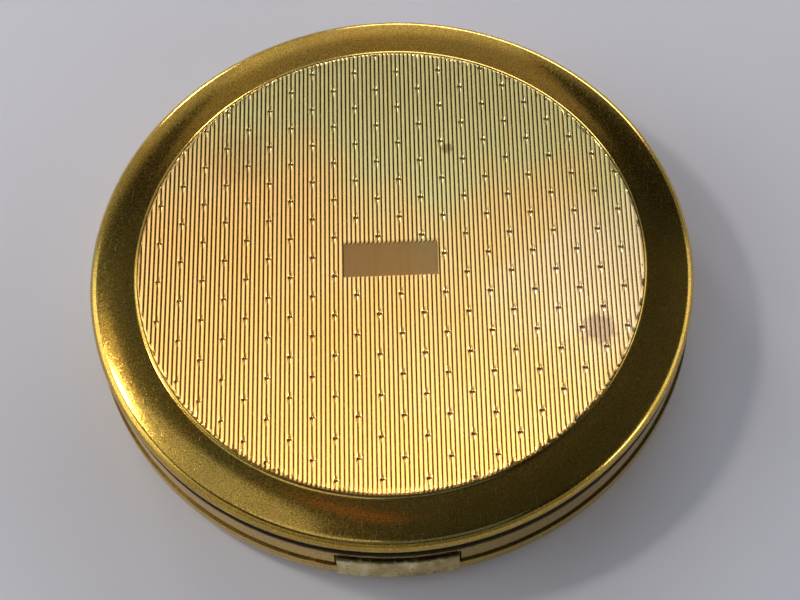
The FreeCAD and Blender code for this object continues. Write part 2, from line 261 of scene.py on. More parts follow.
# %% The one node helper
def node(tree, kind, inputs=None, **settings):
    """Adds a node.  Settings are its own properties, and inputs maps an input's name or number to a
    value, or to another node's output that feeds it."""
    made = tree.nodes.new(kind)
    for key, value in settings.items():
        setattr(made, key, value)
    for key, value in (inputs or {}).items():
        socket = made.inputs[key]
        if isinstance(value, bpy.types.NodeSocket):
            tree.links.new(value, socket)
        else:
            socket.default_value = value
    return made


def new_finish(name):
    """An empty material, its node tree and the Object coordinates in it."""
    material = bpy.data.materials.new(name)
    material.use_nodes = True
    tree = material.node_tree
    tree.nodes.clear()
    place = node(tree, "ShaderNodeTexCoord").outputs["Object"]
    return material, tree, place


def finished(material, tree, **sockets):
    """Closes a finish with a Principled shader.  Sockets are its inputs by name, with _ for a space."""
    shader = node(tree, "ShaderNodeBsdfPrincipled",
                  {key.replace("_", " "): value for key, value in sockets.items()})
    node(tree, "ShaderNodeOutputMaterial", {"Surface": shader.outputs["BSDF"]})
    return material


def metal(material, tree, tint, rough, skin):
    """Closes a metal's finish.  Metallic is 1, so the base colour is the colour of its reflection."""
    return finished(material, tree, Base_Color=tint, Metallic=1.0, Roughness=rough, Normal=skin)


def ramp(tree, value, stops):
    """A colour ramp fed by a value, with stops of (position, hex colour), or of (position, grey)
    where a plain number is wanted.  It returns the colour output."""
    made = node(tree, "ShaderNodeValToRGB", {"Fac": value})
    elements = made.color_ramp.elements
    while len(elements) < len(stops):
        elements.new(0.5)
    for element, (position, colour) in zip(elements, stops):
        element.position = position
        element.color = linear(colour) if isinstance(colour, str) else (colour, colour, colour, 1)
    return made.outputs["Color"]


def blended(tree, share, first, second, blend_type="MIX"):
    """Two colours mixed: the first where the share is 0 and the second where it is 1.  A colour is a
    hex value or an output."""
    made = node(tree, "ShaderNodeMix", data_type="RGBA", blend_type=blend_type)
    for index, value in ((0, share), (6, first), (7, second)):
        if isinstance(value, bpy.types.NodeSocket):
            tree.links.new(value, made.inputs[index])
        else:
            made.inputs[index].default_value = linear(value) if isinstance(value, str) else value
    return made.outputs[2]


def grain(tree, place, size_mm, detail=2.0, stretch=(1, 1, 1), turn=0.0, roughness=0.5):
    """Noise whose blobs are about size_mm across, stretched along an axis by scaling the space the
    other way, and turned about Z by some degrees."""
    mapped = node(tree, "ShaderNodeMapping", {
        "Vector": place, "Rotation": (0, 0, math.radians(turn)), "Scale": stretch})
    return node(tree, "ShaderNodeTexNoise", {
        "Vector": mapped.outputs["Vector"], "Scale": 1 / (size_mm * MM), "Detail": detail,
        "Roughness": roughness}).outputs["Fac"]


def number(tree, operation, *values, clamp=False):
    """One step of arithmetic on numbers or outputs."""
    return node(tree, "ShaderNodeMath", dict(enumerate(values)), operation=operation,
                use_clamp=clamp).outputs[0]


def spread(tree, value, low, high, to_low=0.0, to_high=1.0):
    """A value from the range low to high moved to the range to_low to to_high, and held at its ends."""
    return node(tree, "ShaderNodeMapRange", {
        "Value": value, "From Min": low, "From Max": high,
        "To Min": to_low, "To Max": to_high}).outputs["Result"]


def from_axis(tree, place):
    """The distance from the Z axis."""
    flat = node(tree, "ShaderNodeVectorMath", {0: place, 1: (1, 1, 0)}, operation="MULTIPLY").outputs[0]
    return node(tree, "ShaderNodeVectorMath", {0: flat}, operation="LENGTH").outputs["Value"]


def hairlines(tree, place, turn, width_mm, length_mm, cover):
    """Straight fine scratches: noise drawn out into streaks, of which only the top share is kept.
    Each streak fades in over a narrow band, which makes it thinner than the noise's own blobs."""
    streaks = grain(tree, place, length_mm, 1.0, (length_mm / width_mm, 1, 1), turn)
    return spread(tree, streaks, cover, cover + 0.05)


def bumped(tree, height, depth_mm, under=None):
    """A normal tilted by a height between 0 and 1 that stands for depth_mm."""
    inputs = {"Height": height, "Distance": depth_mm * MM, "Strength": 1.0}
    if under is not None:
        inputs["Normal"] = under
    return node(tree, "ShaderNodeBump", inputs).outputs["Normal"]


print("node helpers are ready")

# %% [markdown]
# ## Polished gilding
# The ring, the rim and the wall are buffed brass under a thin layer of gold, about 24 carat over
# base metal.  It is a metal, so metallic is 1 and the base colour is the colour of its reflection.
# Years in handbags have covered it with hairlines in every direction.  They are too fine to draw one
# by one, so they are drawn a little coarser, and a fine grain of roughness stands for the rest.
# A film of tarnish shifts the colour slowly from place to place.

# %% Finish: polished gilding
GOLD = "#EBC25C"
GOLD_WARM = "#E0A94A"
GOLD_GREEN = "#CDB65C"
GOLD_BROWN = "#7A5422"
# Painted shade: near black for the groove under the rim and the seam between the pans.
SHADE_BLACK = "#17120A"
SHADE_LINES = [(8.95, 1.25, 0.95), (4.5, 0.16, 0.60)]      # middle, half width, depth of colour
SHADE_WANDER = 0.5


def scratched(tree, place, sizes):
    """Hairlines in several directions, each (turn, width, length, cover), taken together by maximum."""
    layers = [hairlines(tree, place, *size) for size in sizes]
    both = layers[0]
    for layer in layers[1:]:
        both = number(tree, "MAXIMUM", both, layer)
    return both


def painted_line_shade(tree, place):
    """Painted shade: a share of near black that is high in the groove under the rim and at the seam
    between the pans, where shade falls, and fades out raggedly above and below each."""
    _, _, z = node(tree, "ShaderNodeSeparateXYZ", {0: place}).outputs
    ragged = number(tree, "MULTIPLY_ADD", grain(tree, place, 1.4, 3.0), SHADE_WANDER * MM, z)
    share = 0.0
    for middle, half, depth in SHADE_LINES:
        offset = (middle + SHADE_WANDER / 2) * MM
        away = number(tree, "ABSOLUTE", number(tree, "SUBTRACT", ragged, offset))
        line = spread(tree, away, half * 0.6 * MM, half * MM, depth, 0.0)
        share = number(tree, "MAXIMUM", share, line)
    return share


def polished_gilding(name, colour, rubbed):
    """Buffed gilding.  Rubbed is the share of handling wear, which dulls it and lets it scratch."""
    material, tree, place = new_finish(name)
    tint_shift = grain(tree, place, 14, 3.0)
    tint = blended(tree, ramp(tree, tint_shift, [(0.40, 0.0), (0.66, 0.7)]), colour, GOLD_GREEN)
    worn = ramp(tree, grain(tree, place, 5, 4.0, turn=20), [(0.50, 0.0), (0.72, 0.55)])
    tint = blended(tree, worn, tint, GOLD_WARM)
    lines = scratched(tree, place, [(8, 0.07, 2.5, 0.75), (67, 0.06, 3, 0.74), (-38, 0.07, 3, 0.74),
                                    (112, 0.06, 2, 0.73)])
    velvet = grain(tree, place, 0.26, 3.0)
    speckle = ramp(tree, grain(tree, place, 0.16, 3.0, roughness=0.7), [(0.40, 0.0), (0.66, 0.75)])
    tint = blended(tree, speckle, tint, "#6B5218")
    dull = spread(tree, velvet, 0.3, 0.7, 0.08, 0.20)
    rough = number(tree, "MULTIPLY_ADD", lines, 0.14 * rubbed, dull)
    # Painted shade in the groove under the rim and at the seam: the colour is darker and duller there.
    line_shade = painted_line_shade(tree, place)
    tint = blended(tree, line_shade, tint, SHADE_BLACK)
    rough = number(tree, "MULTIPLY_ADD", line_shade, 0.5, rough)
    soft = bumped(tree, velvet, 0.0032)
    skin = bumped(tree, lines, -0.0012 * rubbed, soft)
    return metal(material, tree, tint, rough, skin)


case_gilding = polished_gilding("polished_gilding", GOLD, 1.0)

# %% [markdown]
# ## Engine-turned gilding
# A rose engine draws a cutter across the panel and leaves bright ribs.  Each rib is a shallow round
# land with its own slightly different brightness, because the cutter wears, and old polish stays brown
# in the grooves.  The mesh carries a value `cut`, 0 on top of a rib and 1 at the bottom of a groove,
# and the finish darkens with it.  The same value carries painted shade: the steep flank of each rib
# and the back half of each pit are darkened, more strongly towards the upper left, and the blank plate
# and its edge are darker too.  A second value, `plate`, marks the blank plate, whose ground is stippled
# and dull.  The tint shifts across the panel, warm towards the lower left and greenish towards the top
# and right.  There are a broad pale patch, which is a painted reflection of a bright window, and three
# old stains.

# %% Finish: engine-turned gilding
PANEL_GOLD = "#FBCB80"
PANEL_PEACH = "#FBC26E"
PANEL_GREEN = "#DCD08E"
RIB_PITCH = 0.5528
POLISH_AND_SHADE = "#5A3D16"
# The first patch is a painted reflection: a broad pale glow where the ribs mirror a bright window.  The
# other three are old stains.
STAINS_AND_GLOW = [      # place, radius, strength, colour
    ((26.0, -3.0), 14.0, 0.60, "#FFE0B0"), ((7.7, 16.4), 1.0, 0.60, "#7A5228"),
    ((25.6, -10.6), 2.6, 0.60, "#8A7468"), ((-19.0, 15.5), 5.0, 0.22, "#A08050")]


def tinted_patch(tree, place, colour, spot, radius, strength, dirt_and_painted_light):
    """A ragged patch: the distance from its middle, with noise added, is faded into the colour."""
    x, y = spot
    away = node(tree, "ShaderNodeVectorMath", {0: place, 1: (x * MM, y * MM, 0.0125)},
                operation="DISTANCE").outputs["Value"]
    ragged = number(tree, "MULTIPLY_ADD", grain(tree, place, radius * 0.5, 4.0), -1.3 * radius * MM, away)
    share = spread(tree, ragged, -0.15 * radius * MM, 0.35 * radius * MM, strength, 0.0)
    return blended(tree, share, colour, dirt_and_painted_light)


def engine_turned_gilding():
    """The panel's finish: shifting tint, per-rib streaks, old polish with painted shade in the cuts,
    three stains and a painted reflection.
    """
    material, tree, place = new_finish("engine_turned_gilding")
    x, y, _ = node(tree, "ShaderNodeSeparateXYZ", {0: place}).outputs
    # The tint shifts across the panel: warm towards the lower left, greenish towards the top and right.
    across = number(tree, "ADD", number(tree, "MULTIPLY", x, 6.0), number(tree, "MULTIPLY", y, 15.0))
    tint_shift = number(tree, "ADD", grain(tree, place, 17, 3.0), across)
    tint = ramp(tree, tint_shift, [(0.20, PANEL_PEACH), (0.50, PANEL_GOLD), (0.80, PANEL_GREEN)])
    streaks = grain(tree, place, 24, 3.0, (24 / (1.3 * RIB_PITCH), 1, 1))
    tint = blended(tree, ramp(tree, streaks, [(0.45, 0.0), (0.75, 0.22)]), tint, GOLD_WARM)
    # Three old stains and one painted reflection, each a ragged patch.
    for spot, radius, strength, dirt_and_painted_light in STAINS_AND_GLOW:
        tint = tinted_patch(tree, place, tint, spot, radius, strength, dirt_and_painted_light)
    # Painted shade: the value read here darkens the steep flanks and the pit backs as shade, and the
    # grooves with old polish, more strongly towards the upper left.
    cut = node(tree, "ShaderNodeAttribute", attribute_name="cut").outputs["Fac"]
    up_left = number(tree, "MULTIPLY_ADD", x, -0.7, y)
    kept = spread(tree, up_left, -24 * MM, 16 * MM, 0.40, 0.90)
    polish_and_shade = number(tree, "MULTIPLY", ramp(tree, cut, [(0.12, 0.0), (0.80, 1.0)]), kept)
    tint = blended(tree, polish_and_shade, tint, POLISH_AND_SHADE)
    tool_marks = grain(tree, place, 2.4, 2.0, (2.4 / 0.25, 1, 1))
    rough = spread(tree, tool_marks, 0.3, 0.7, 0.21, 0.28)
    plate = node(tree, "ShaderNodeAttribute", attribute_name="plate").outputs["Fac"]
    stipple = number(tree, "MULTIPLY", grain(tree, place, 0.25, 2.0), plate)
    rough = number(tree, "MULTIPLY_ADD", plate, 0.36, rough)
    skin = bumped(tree, stipple, 0.05, bumped(tree, tool_marks, 0.0003))
    return metal(material, tree, tint, rough, skin)


panel_gilding = engine_turned_gilding()

# %% [markdown]
# ## The engine-turned panel
# The relief is a height for every x and y.  A rib leans, as the cutter did: from its crest the height
# falls off as a power, a little over 1, of the distance, slowly to one side and steeply to the other.
# The broad flank shines and the steep one stays dark, and the steep one is also painted darker, as
# painted shade.  Small pits stand in staggered rows, each one nearly across two ribs, with a steep
# back wall and a sloping front, and their back halves are painted dark as shade.  A blank plate is
# sunk in the middle.  The grid has six lines to a rib, with one along each groove, and seven rows to
# each row of pits, placed where a pit's walls are.

# %% Relief of the panel
FACE_Z = 12.5
PANEL_BEVEL = 0.22
FOOT_Z = FACE_Z - PANEL_BEVEL
PANEL_RADIUS = 31.5
RIB_DEPTH = 0.18
RIB_CREST = 1 / 6
RIB_ROUNDNESS = 1.12
PIT_COLUMN, PIT_ROW = 2.764, 2.776
PIT_PLACE = (-1.445, -1.890)
PIT_DEPTH = 0.06
PLATE_SIZE = (11.9, 4.8)
PLATE_SINK = 0.12
PLATE_CENTRE = (0.1, 0.3)
LINES_PER_RIB = 6
PIT_ROWS = np.array([-0.95, -0.30, -0.15, 0.0, 0.12, 0.22, 0.95])


def pits(x, y):
    """1 on a pit's floor and 0 outside.  A pit is an oval 0.9 by 0.5 mm, at every second place of a
    lattice: the nearest row is found first, and then the nearest column that the row uses."""
    row = np.round((y - PIT_PLACE[1]) / PIT_ROW)
    dy = y - PIT_PLACE[1] - row * PIT_ROW
    shift = PIT_PLACE[0] + np.mod(row, 2) * PIT_COLUMN
    dx = np.mod(x - shift + PIT_COLUMN, 2 * PIT_COLUMN) - PIT_COLUMN
    steepness = np.where(dy > 0, 0.20, 0.30)
    return 1 - smoothstep(0.55, 1.05, np.hypot(dx / 0.50, dy / steepness))


def relief(x, y):
    """Depth below the face in millimetres, the share of darkening, and 1 on the blank plate, for points
    of the panel.  The darkening is old polish in the grooves with painted shade on each rib's steep
    flank and in the back half of each pit; the plate and its edge are darkened too."""
    u = np.mod((x - PIT_PLACE[0]) / RIB_PITCH, 1) - 0.5
    fall = np.where(u < RIB_CREST, (RIB_CREST - u) / (0.5 + RIB_CREST),
                    (u - RIB_CREST) / (0.5 - RIB_CREST))
    rib = fall ** RIB_ROUNDNESS
    pit = pits(x, y)
    edge = np.minimum(PLATE_SIZE[0] / 2 - np.abs(x - PLATE_CENTRE[0]),
                      PLATE_SIZE[1] / 2 - np.abs(y - PLATE_CENTRE[1]))
    plate = smoothstep(-0.02, 0.05, edge)
    depth = RIB_DEPTH * rib * (1 - pit) + PIT_DEPTH * pit
    depth = depth * (1 - plate) + PLATE_SINK * plate
    border = smoothstep(0.5, 0.0, np.abs(edge) / 0.25)
    from_row = y - PIT_PLACE[1] - PIT_ROW * np.round((y - PIT_PLACE[1]) / PIT_ROW)
    # Painted shade: the back half of each pit, where its steep wall is.
    shaded = pit * smoothstep(-0.28, 0.10, from_row)
    # Painted shade on each rib's steep flank, from its middle down; on the broad flank only the part next
    # to the groove, for old polish.
    groove = np.where(u < RIB_CREST, smoothstep(0.76, 1.0, fall), smoothstep(0.0, 0.5, fall))
    # Old polish and painted shade together, with the plate and its edge darker.
    dirt_and_painted_light = np.maximum(np.maximum(groove * (1 - pit), 0.6 * shaded) * (1 - plate), 0.62 * plate)
    return depth, np.maximum(dirt_and_painted_light, 0.8 * border), plate


def panel_grid():
    """Grid lines in x and y: evenly across the ribs, and bunched at the pits' walls and the plate's
    edges in y."""
    step = RIB_PITCH / LINES_PER_RIB
    first = math.floor(-PANEL_RADIUS / step)
    x = PIT_PLACE[0] + step * np.arange(first - 20, -first + 40)
    x = x[np.abs(x) < PANEL_RADIUS + step]
    rows = np.arange(-14, 15) * PIT_ROW + PIT_PLACE[1]
    sides = PLATE_CENTRE[1] + np.outer([-1, 1], PLATE_SIZE[1] / 2 + np.array([0.03, -0.06])).ravel()
    y = np.concatenate([(rows[:, None] + PIT_ROWS).ravel(), sides])
    return x, np.sort(y[np.abs(y) < PANEL_RADIUS + 0.6])


x_lines, y_lines = panel_grid()
print("panel grid:", len(x_lines), "by", len(y_lines))

# %% The panel's mesh
def panel_piece():
    """The relief as a closed disc.  Grid squares with a corner inside the circle are kept, and their
    outer corners are drawn in to the circle.  The open edge is carried down and outwards as a bevel,
    and closed underneath by a fan."""
    x, y = (a.ravel() for a in np.meshgrid(x_lines, y_lines, indexing="ij"))
    quads = grid_faces(len(x_lines), len(y_lines), False, False)
    radius = np.hypot(x, y)
    quads = quads[(radius[quads] < PANEL_RADIUS - 0.03).any(1)]
    used, quads = np.unique(quads, return_inverse=True)
    quads = quads.reshape(-1, 4)
    pull = np.minimum(1, PANEL_RADIUS / radius[used])
    x, y = x[used] * pull, y[used] * pull
    depth = relief(x, y)[0]
    edges = np.stack([quads, np.roll(quads, -1, 1)], -1).reshape(-1, 2)
    keys, first, count = np.unique(np.sort(edges, 1), axis=0, return_index=True, return_counts=True)
    rim = edges[first[count == 1]]
    around = np.unique(rim)
    place_in_rim = np.searchsorted(around, rim)
    outward = 1 + PANEL_BEVEL / PANEL_RADIUS
    top = np.stack([x, y, FACE_Z - depth], -1)
    foot = np.stack([x[around] * outward, y[around] * outward, np.full(len(around), FOOT_Z)], -1)
    middle = [[0, 0, FOOT_Z]]
    walls = np.stack([rim[:, 1], rim[:, 0], len(x) + place_in_rim[:, 0], len(x) + place_in_rim[:, 1]], -1)
    under = np.stack([len(x) + place_in_rim[:, 1], len(x) + place_in_rim[:, 0],
                      np.full(len(rim), len(x) + len(around))], -1)
    return mesh_piece("engine_turned_panel", np.concatenate([top, foot, middle]),
                      np.concatenate([quads, walls]), under)


def painted_with(piece, attribute, values):
    """Stores one number per vertex under a name that a finish can read."""
    made = piece.data.attributes.new(attribute, "FLOAT", "POINT")
    made.data.foreach_set("value", np.asarray(values, np.float32))


def vertex_places(piece):
    """A piece's vertices in millimetres."""
    places = np.empty(len(piece.data.vertices) * 3)
    piece.data.vertices.foreach_get("co", places)
    return places.reshape(-1, 3) / MM


engine_panel = panel_piece()
panel_points = vertex_places(engine_panel)
# The second value is old polish together with painted shade.
_, polish_and_shade_share, plate_share = relief(panel_points[:, 0], panel_points[:, 1])
painted_with(engine_panel, "cut", polish_and_shade_share)
painted_with(engine_panel, "plate", plate_share)
engine_panel.data.materials.append(panel_gilding)
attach(engine_panel, "base")
print("panel:", len(engine_panel.data.polygons), "faces")

# %% [markdown]
# ## The base pan
# One disc of sheet brass is pressed into the whole base: a seat for the panel, a little step, the
# broad polished ring that falls away ever faster, the rolled rim, the groove under it, a shoulder and
# the straight wall.  The radii of the ring and the rim follow from where the ring starts, how wide
# the case is and how far the rim lies below the face.

# %% The base pan's outline
CASE_RADIUS = 38.0
PARTING_Z = 4.5
MOUTH_GAP = 0.1
STEP = (0.3, 50.0)
RING_SLOPES = (2.0, 14.0)
RIM_DROP = 2.35
CAD_SHEET = 0.5
SHOWN_SHEET = 0.28
TIGHT = 4.0             # degrees a step in the small bends
PAN_SEGMENTS = 320


def base_walk():
    """The bends of the pan's outer face.  Two unknown radii meet two conditions, the ring's and the
    rim's widths adding up to the case radius and their drops to RIM_DROP, so they are solved for."""
    step, slope = STEP[0], math.radians(STEP[1])
    flat, steep = np.radians(RING_SLOPES)
    width = CASE_RADIUS - PANEL_RADIUS - step * (2 * math.sin(slope) - math.sin(flat))
    drop = RIM_DROP - step * (1 + math.cos(flat) - 2 * math.cos(slope))
    width -= CAD_SHEET * (math.sin(slope) - math.sin(flat))
    drop -= CAD_SHEET * (math.cos(flat) - math.cos(slope))
    ring, rim = np.linalg.solve(
        [[math.sin(steep) - math.sin(flat), 1 - math.sin(steep)],
         [math.cos(flat) - math.cos(steep), math.cos(steep)]], [width, drop])
    return [("bend", step, -STEP[1], TIGHT),
            ("bend", step + CAD_SHEET, STEP[1] - RING_SLOPES[0], TIGHT),
            ("bend", ring, RING_SLOPES[0] - RING_SLOPES[1]), ("bend", rim, RING_SLOPES[1] - 90),
            ("bend", 0.55, -80, TIGHT), ("bend", 0.3, 80, TIGHT), ("bend", 0.4, 50, TIGHT),
            ("bend", 0.9, -50, TIGHT)]


walk = base_walk()
corner = bends((PANEL_RADIUS, FACE_Z), 0, walk)[0][-1]
wall = ("go", corner[1] - PARTING_Z - MOUTH_GAP / 2)
print("ring radius", round(walk[2][1], 2), "rim radius", round(walk[3][1], 2), "wall at", corner.round(2))

# %% The base pan's mesh
SEAT_Z = FOOT_Z + 0.01

face, headings = bends((PANEL_RADIUS, FACE_Z), 0, walk + [wall], degrees=2.0)
low = face[:, 1] < SEAT_Z
face = np.concatenate([[(0, SEAT_Z), (face[low][0, 0] - 0.02, SEAT_Z)], face[low]])
headings = np.concatenate([[0, 0], headings[low]])
base_pan = turned("base_pan", two_faced(face, headings, -SHOWN_SHEET), PAN_SEGMENTS)

NOTCH = ((36.0, 39.0), (PARTING_Z - 1, 7.55), FRONT, 11.6)
HINGE_OPENING = ((-8.3, 8.3), (30.0, 40.0))
HINGE_NOTCH = (*HINGE_OPENING, (PARTING_Z - 1, PARTING_Z + 1.6))
punched(base_pan, loft("thumb_punch", arc_block(*NOTCH)))
punched(base_pan, mesh_piece("hinge_punch", *block(*HINGE_NOTCH)))
base_pan.data.materials.append(case_gilding)
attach(base_pan, "base")
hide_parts("base_shell")
print("base pan:", len(base_pan.data.polygons), "faces")

# %% [markdown]
# ## Brushed gilding, drawn brass and steel
# The inside parts were never buffed.  The deck, the inner lid and the sifter keep the fine straight
# brush marks of the sheet under their gold, the cup shows the rings of the drawing press, and pins
# and springs are bare steel wire.  Each finish gives its own grain to the light: straight, round, or
# along the wire.

# %% Finishes: brushed gilding, drawn brass, steel
def brushed_gilding(name, colour, turn):
    """Gilding over sheet that was brushed in one direction, with a few later hairlines."""
    material, tree, place = new_finish(name)
    brush = grain(tree, place, 6.0, 3.0, (6.0 / 0.10, 1, 1), turn)
    lines = scratched(tree, place, [(30, 0.10, 5, 0.65), (-50, 0.09, 4, 0.65)])
    tint_shift = ramp(tree, grain(tree, place, 11, 3.0), [(0.42, 0.0), (0.68, 0.6)])
    tint = blended(tree, tint_shift, colour, GOLD_GREEN)
    rough = spread(tree, brush, 0.3, 0.7, 0.20, 0.38)
    skin = bumped(tree, brush, 0.004)
    skin = bumped(tree, lines, -0.003, skin)
    return metal(material, tree, tint, rough, skin)


def drawn_brass():
    """Deep-drawn sheet: fine rings round the axis, dull, with brown spots."""
    material, tree, place = new_finish("drawn_brass")
    outwards = node(tree, "ShaderNodeCombineXYZ", {0: from_axis(tree, place)}).outputs[0]
    rings = node(tree, "ShaderNodeTexNoise", {
        "Vector": outwards, "Scale": 1 / (0.35 * MM), "Detail": 3.0}).outputs["Fac"]
    spots = ramp(tree, grain(tree, place, 2.5, 4.0), [(0.55, 0.0), (0.75, 0.7)])
    tint = blended(tree, spots, "#C9A35A", GOLD_BROWN)
    rough = spread(tree, rings, 0.3, 0.7, 0.28, 0.45)
    return metal(material, tree, tint, rough, bumped(tree, rings, 0.006))


def steel(name, colour, dull):
    """Drawn wire or spring leaf: fine marks along X, and specks of rust."""
    material, tree, place = new_finish(name)
    marks = grain(tree, place, 2.0, 2.0, (1, 2.0 / 0.06, 2.0 / 0.06))
    rust = ramp(tree, grain(tree, place, 0.8, 4.0), [(0.60, 0.0), (0.72, 0.8)])
    tint = blended(tree, rust, colour, "#6A4A30")
    rough = spread(tree, marks, 0.3, 0.7, dull, dull + 0.15)
    return metal(material, tree, tint, rough, bumped(tree, marks, 0.003))


inside_gilding = brushed_gilding("brushed_gilding", "#EBC978", 0)
cup_brass = drawn_brass()
pin_steel = steel("drawn_steel_wire", "#B9B7B1", 0.24)
spring_steel = steel("blued_spring_steel", "#7C7B80", 0.30)


def dressed(piece, finish, body, slot, *stands_for):
    """Gives a piece its finish and its body, and hides the CAD nodes that it stands for.  The slot is not
    used.
    """
    piece.data.materials.clear()
    piece.data.materials.append(finish)
    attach(piece, body)
    if stands_for:
        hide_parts(*stands_for)
    print(f"{piece.name}: {len(piece.data.polygons)} faces")
    return piece

# %% [markdown]
# ## The lid pan
# The lid is the second pressing, a shallow dish.  It lies on a flat, 62 mm across, and turns up
# through a soft shoulder and a round edge into a short wall.  A fine line is rolled into that wall.
# Its face is decorated with a sunray pattern of fine rays, a common and quite generic cut.

# %% The lid pan's mesh and finish
LID_FLAT = 31.0
LID_SHOULDER = (26.0, 11.0)
LID_SHEET = 0.4
LINE_Z, LINE_DEPTH, LINE_WIDTH = 3.65, 0.07, 0.10
RAYS = 120.0
RAY_DEPTH = 0.02


def lid_walk():
    """Flat, shoulder and edge.  The edge's radius takes up what is left of the case radius."""
    slope = math.radians(LID_SHOULDER[1])
    left = CASE_RADIUS - LID_FLAT - LID_SHOULDER[0] * math.sin(slope)
    return [("go", LID_FLAT), ("bend", *LID_SHOULDER),
            ("bend", left / (1 - math.sin(slope)), 90 - LID_SHOULDER[1])]


face, headings = bends((0, 0), 0, lid_walk())
wall_z = np.linspace(face[-1, 1], PARTING_Z - MOUTH_GAP / 2, 40)[1:]
face = np.concatenate([face, np.stack([np.full(len(wall_z), CASE_RADIUS), wall_z], -1)])
headings = np.concatenate([headings, np.full(len(wall_z), 90.0)])
lid_outline = two_faced(face, headings, LID_SHEET)
lid_outline[:len(face), 0] -= LINE_DEPTH * np.exp(-((face[:, 1] - LINE_Z) / LINE_WIDTH) ** 2)
lid_pan = turned("lid_pan", lid_outline, PAN_SEGMENTS)
LID_NOTCH_TOP = 6.0
CATCH_HALF, CATCH_Z = 11.2, (2.2, 7.0)
CATCH_NOTCH = ((36.5, 39.0), (CATCH_Z[0], LID_NOTCH_TOP), FRONT, CATCH_HALF)
punched(lid_pan, loft("catch_punch", arc_block(*CATCH_NOTCH)))
punched(lid_pan, mesh_piece("hinge_punch", *block(*HINGE_OPENING, (3.4, LID_NOTCH_TOP))))


def sunray_gilding():
    """Polished gilding with rays on the lid's face, which fade out at its edge.  A ray is a wave
    of the angle round Z, and the angle is the arc tangent of y over x."""
    material = polished_gilding("sunray_gilding", GOLD, 0.8)
    tree = material.node_tree
    shader = next(n for n in tree.nodes if n.type == "BSDF_PRINCIPLED")
    place = next(n for n in tree.nodes if n.type == "TEX_COORD").outputs["Object"]
    x, y, z = node(tree, "ShaderNodeSeparateXYZ", {0: place}).outputs
    wave = number(tree, "SINE", number(tree, "MULTIPLY", number(tree, "ARCTAN2", y, x), RAYS))
    rays = number(tree, "MULTIPLY", wave, spread(tree, z, 0.02 * MM, 0.1 * MM, 1.0, 0.0))
    before = shader.inputs["Normal"].links[0].from_socket
    tree.links.new(bumped(tree, rays, RAY_DEPTH, before), shader.inputs["Normal"])
    return material


lid_gilding = sunray_gilding()
dressed(lid_pan, lid_gilding, "lid", "lid_gilt", "lid_shell")

# %% [markdown]
# ## The thumb catch
# The catch is a thick curved plate let into the lid's wall.  It takes all the handling, so its gold
# has gone: the metal is dull grey-green brass, with painted shade along its upper edge, under the rim,
# and black grease in small pits.  Its section is a rounded rectangle, swept round the case, and it
# thins towards its ends so that they are rounded too.

# %% The catch
CATCH_RADII = (37.62, 38.12)
CATCH_EASE = 0.16


def curved_plate(name, radii, z, half, ease, middle=FRONT, steps=49):
    """A plate curved about Z, at the front or at another angle in degrees.  Its section is a rounded
    rectangle in radius and height, and near each end it shrinks towards its middle by a quarter
    circle of radius `ease`."""
    section = rounded(rectangle(radii, z), ease, 5)
    centre = section.mean(0)
    mean_radius = sum(radii) / 2
    length = math.radians(2 * half) * mean_radius
    along = length * (0.5 - 0.5 * np.cos(np.linspace(0, math.pi, steps)))
    inset = np.clip(1 - np.minimum(along, length - along) / ease, 0, 1)
    shrink = ease * (1 - np.sqrt(1 - inset ** 2))
    reach = np.abs(section - centre).max(0)
    scale = 1 - shrink[:, None] / reach
    sections = centre + (section - centre) * scale[:, None, :]
    angle = math.radians(middle) + (along - length / 2) / mean_radius
    x, y = (sections[..., 0] * np.cos(angle)[:, None], sections[..., 0] * np.sin(angle)[:, None])
    return loft(name, np.stack([x, y, sections[..., 1]], -1))


def worn_brass():
    """Bare, handled brass: grey-green, smeared, with painted shade along the top, under the rim, and
    grease in the pits.
    """
    material, tree, place = new_finish("worn_catch_brass")
    _, _, z = node(tree, "ShaderNodeSeparateXYZ", {0: place}).outputs
    smear = grain(tree, place, 1.6, 4.0, (1, 1, 0.35))
    tint = ramp(tree, smear, [(0.30, "#B9A362"), (0.52, "#E2CF8E"), (0.72, "#F8EFC4")])
    ragged = number(tree, "MULTIPLY_ADD", grain(tree, place, 0.9, 4.0), 1.6 * MM, z)
    # Painted shade along the catch's upper edge, under the rim, in the same dark colour as the grease in
    # the pits.
    edge = spread(tree, ragged, 7.15 * MM, 7.75 * MM, 0.0, 0.85)
    dots = ramp(tree, grain(tree, place, 0.5, 2.0), [(0.63, 0.0), (0.70, 0.8)])
    tint = blended(tree, number(tree, "MAXIMUM", edge, dots), tint, "#3A3122")
    lines = scratched(tree, place, [(0, 0.09, 3, 0.58), (80, 0.08, 2, 0.6)])
    rough = number(tree, "MULTIPLY_ADD", smear, 0.30, 0.22)
    skin = bumped(tree, dots, -0.03)
    skin = bumped(tree, lines, -0.006, skin)
    return metal(material, tree, tint, rough, skin)


catch_brass = worn_brass()
catch = curved_plate("thumb_catch", CATCH_RADII, CATCH_Z, CATCH_HALF, CATCH_EASE)
dressed(catch, catch_brass, "lid", "catch_brass", "lid_catch")
foot = curved_plate("catch_foot", (37.4, 37.75), (CATCH_Z[0], 4.4), CATCH_HALF - 0.1, 0.05)
dressed(foot, catch_brass, "lid", "catch_brass")


def bead(name, centre, radii, steps=24):
    """A small rounded pip: an ellipsoid, x, y, z = centre + radii times the unit sphere's point."""
    a = even_angles(steps)
    b = np.linspace(-math.pi / 2, math.pi / 2, steps // 2 + 1)[1:-1, None]
    sphere = np.stack([np.cos(b) * np.cos(a), np.cos(b) * np.sin(a), np.sin(b) + 0 * a], -1)
    return loft(name, np.asarray(centre) + sphere * radii)


dressed(bead("catch_pip", (0, -38.04, 4.0), (0.16, 0.12, 0.5)), catch_brass, "lid", "catch_brass")

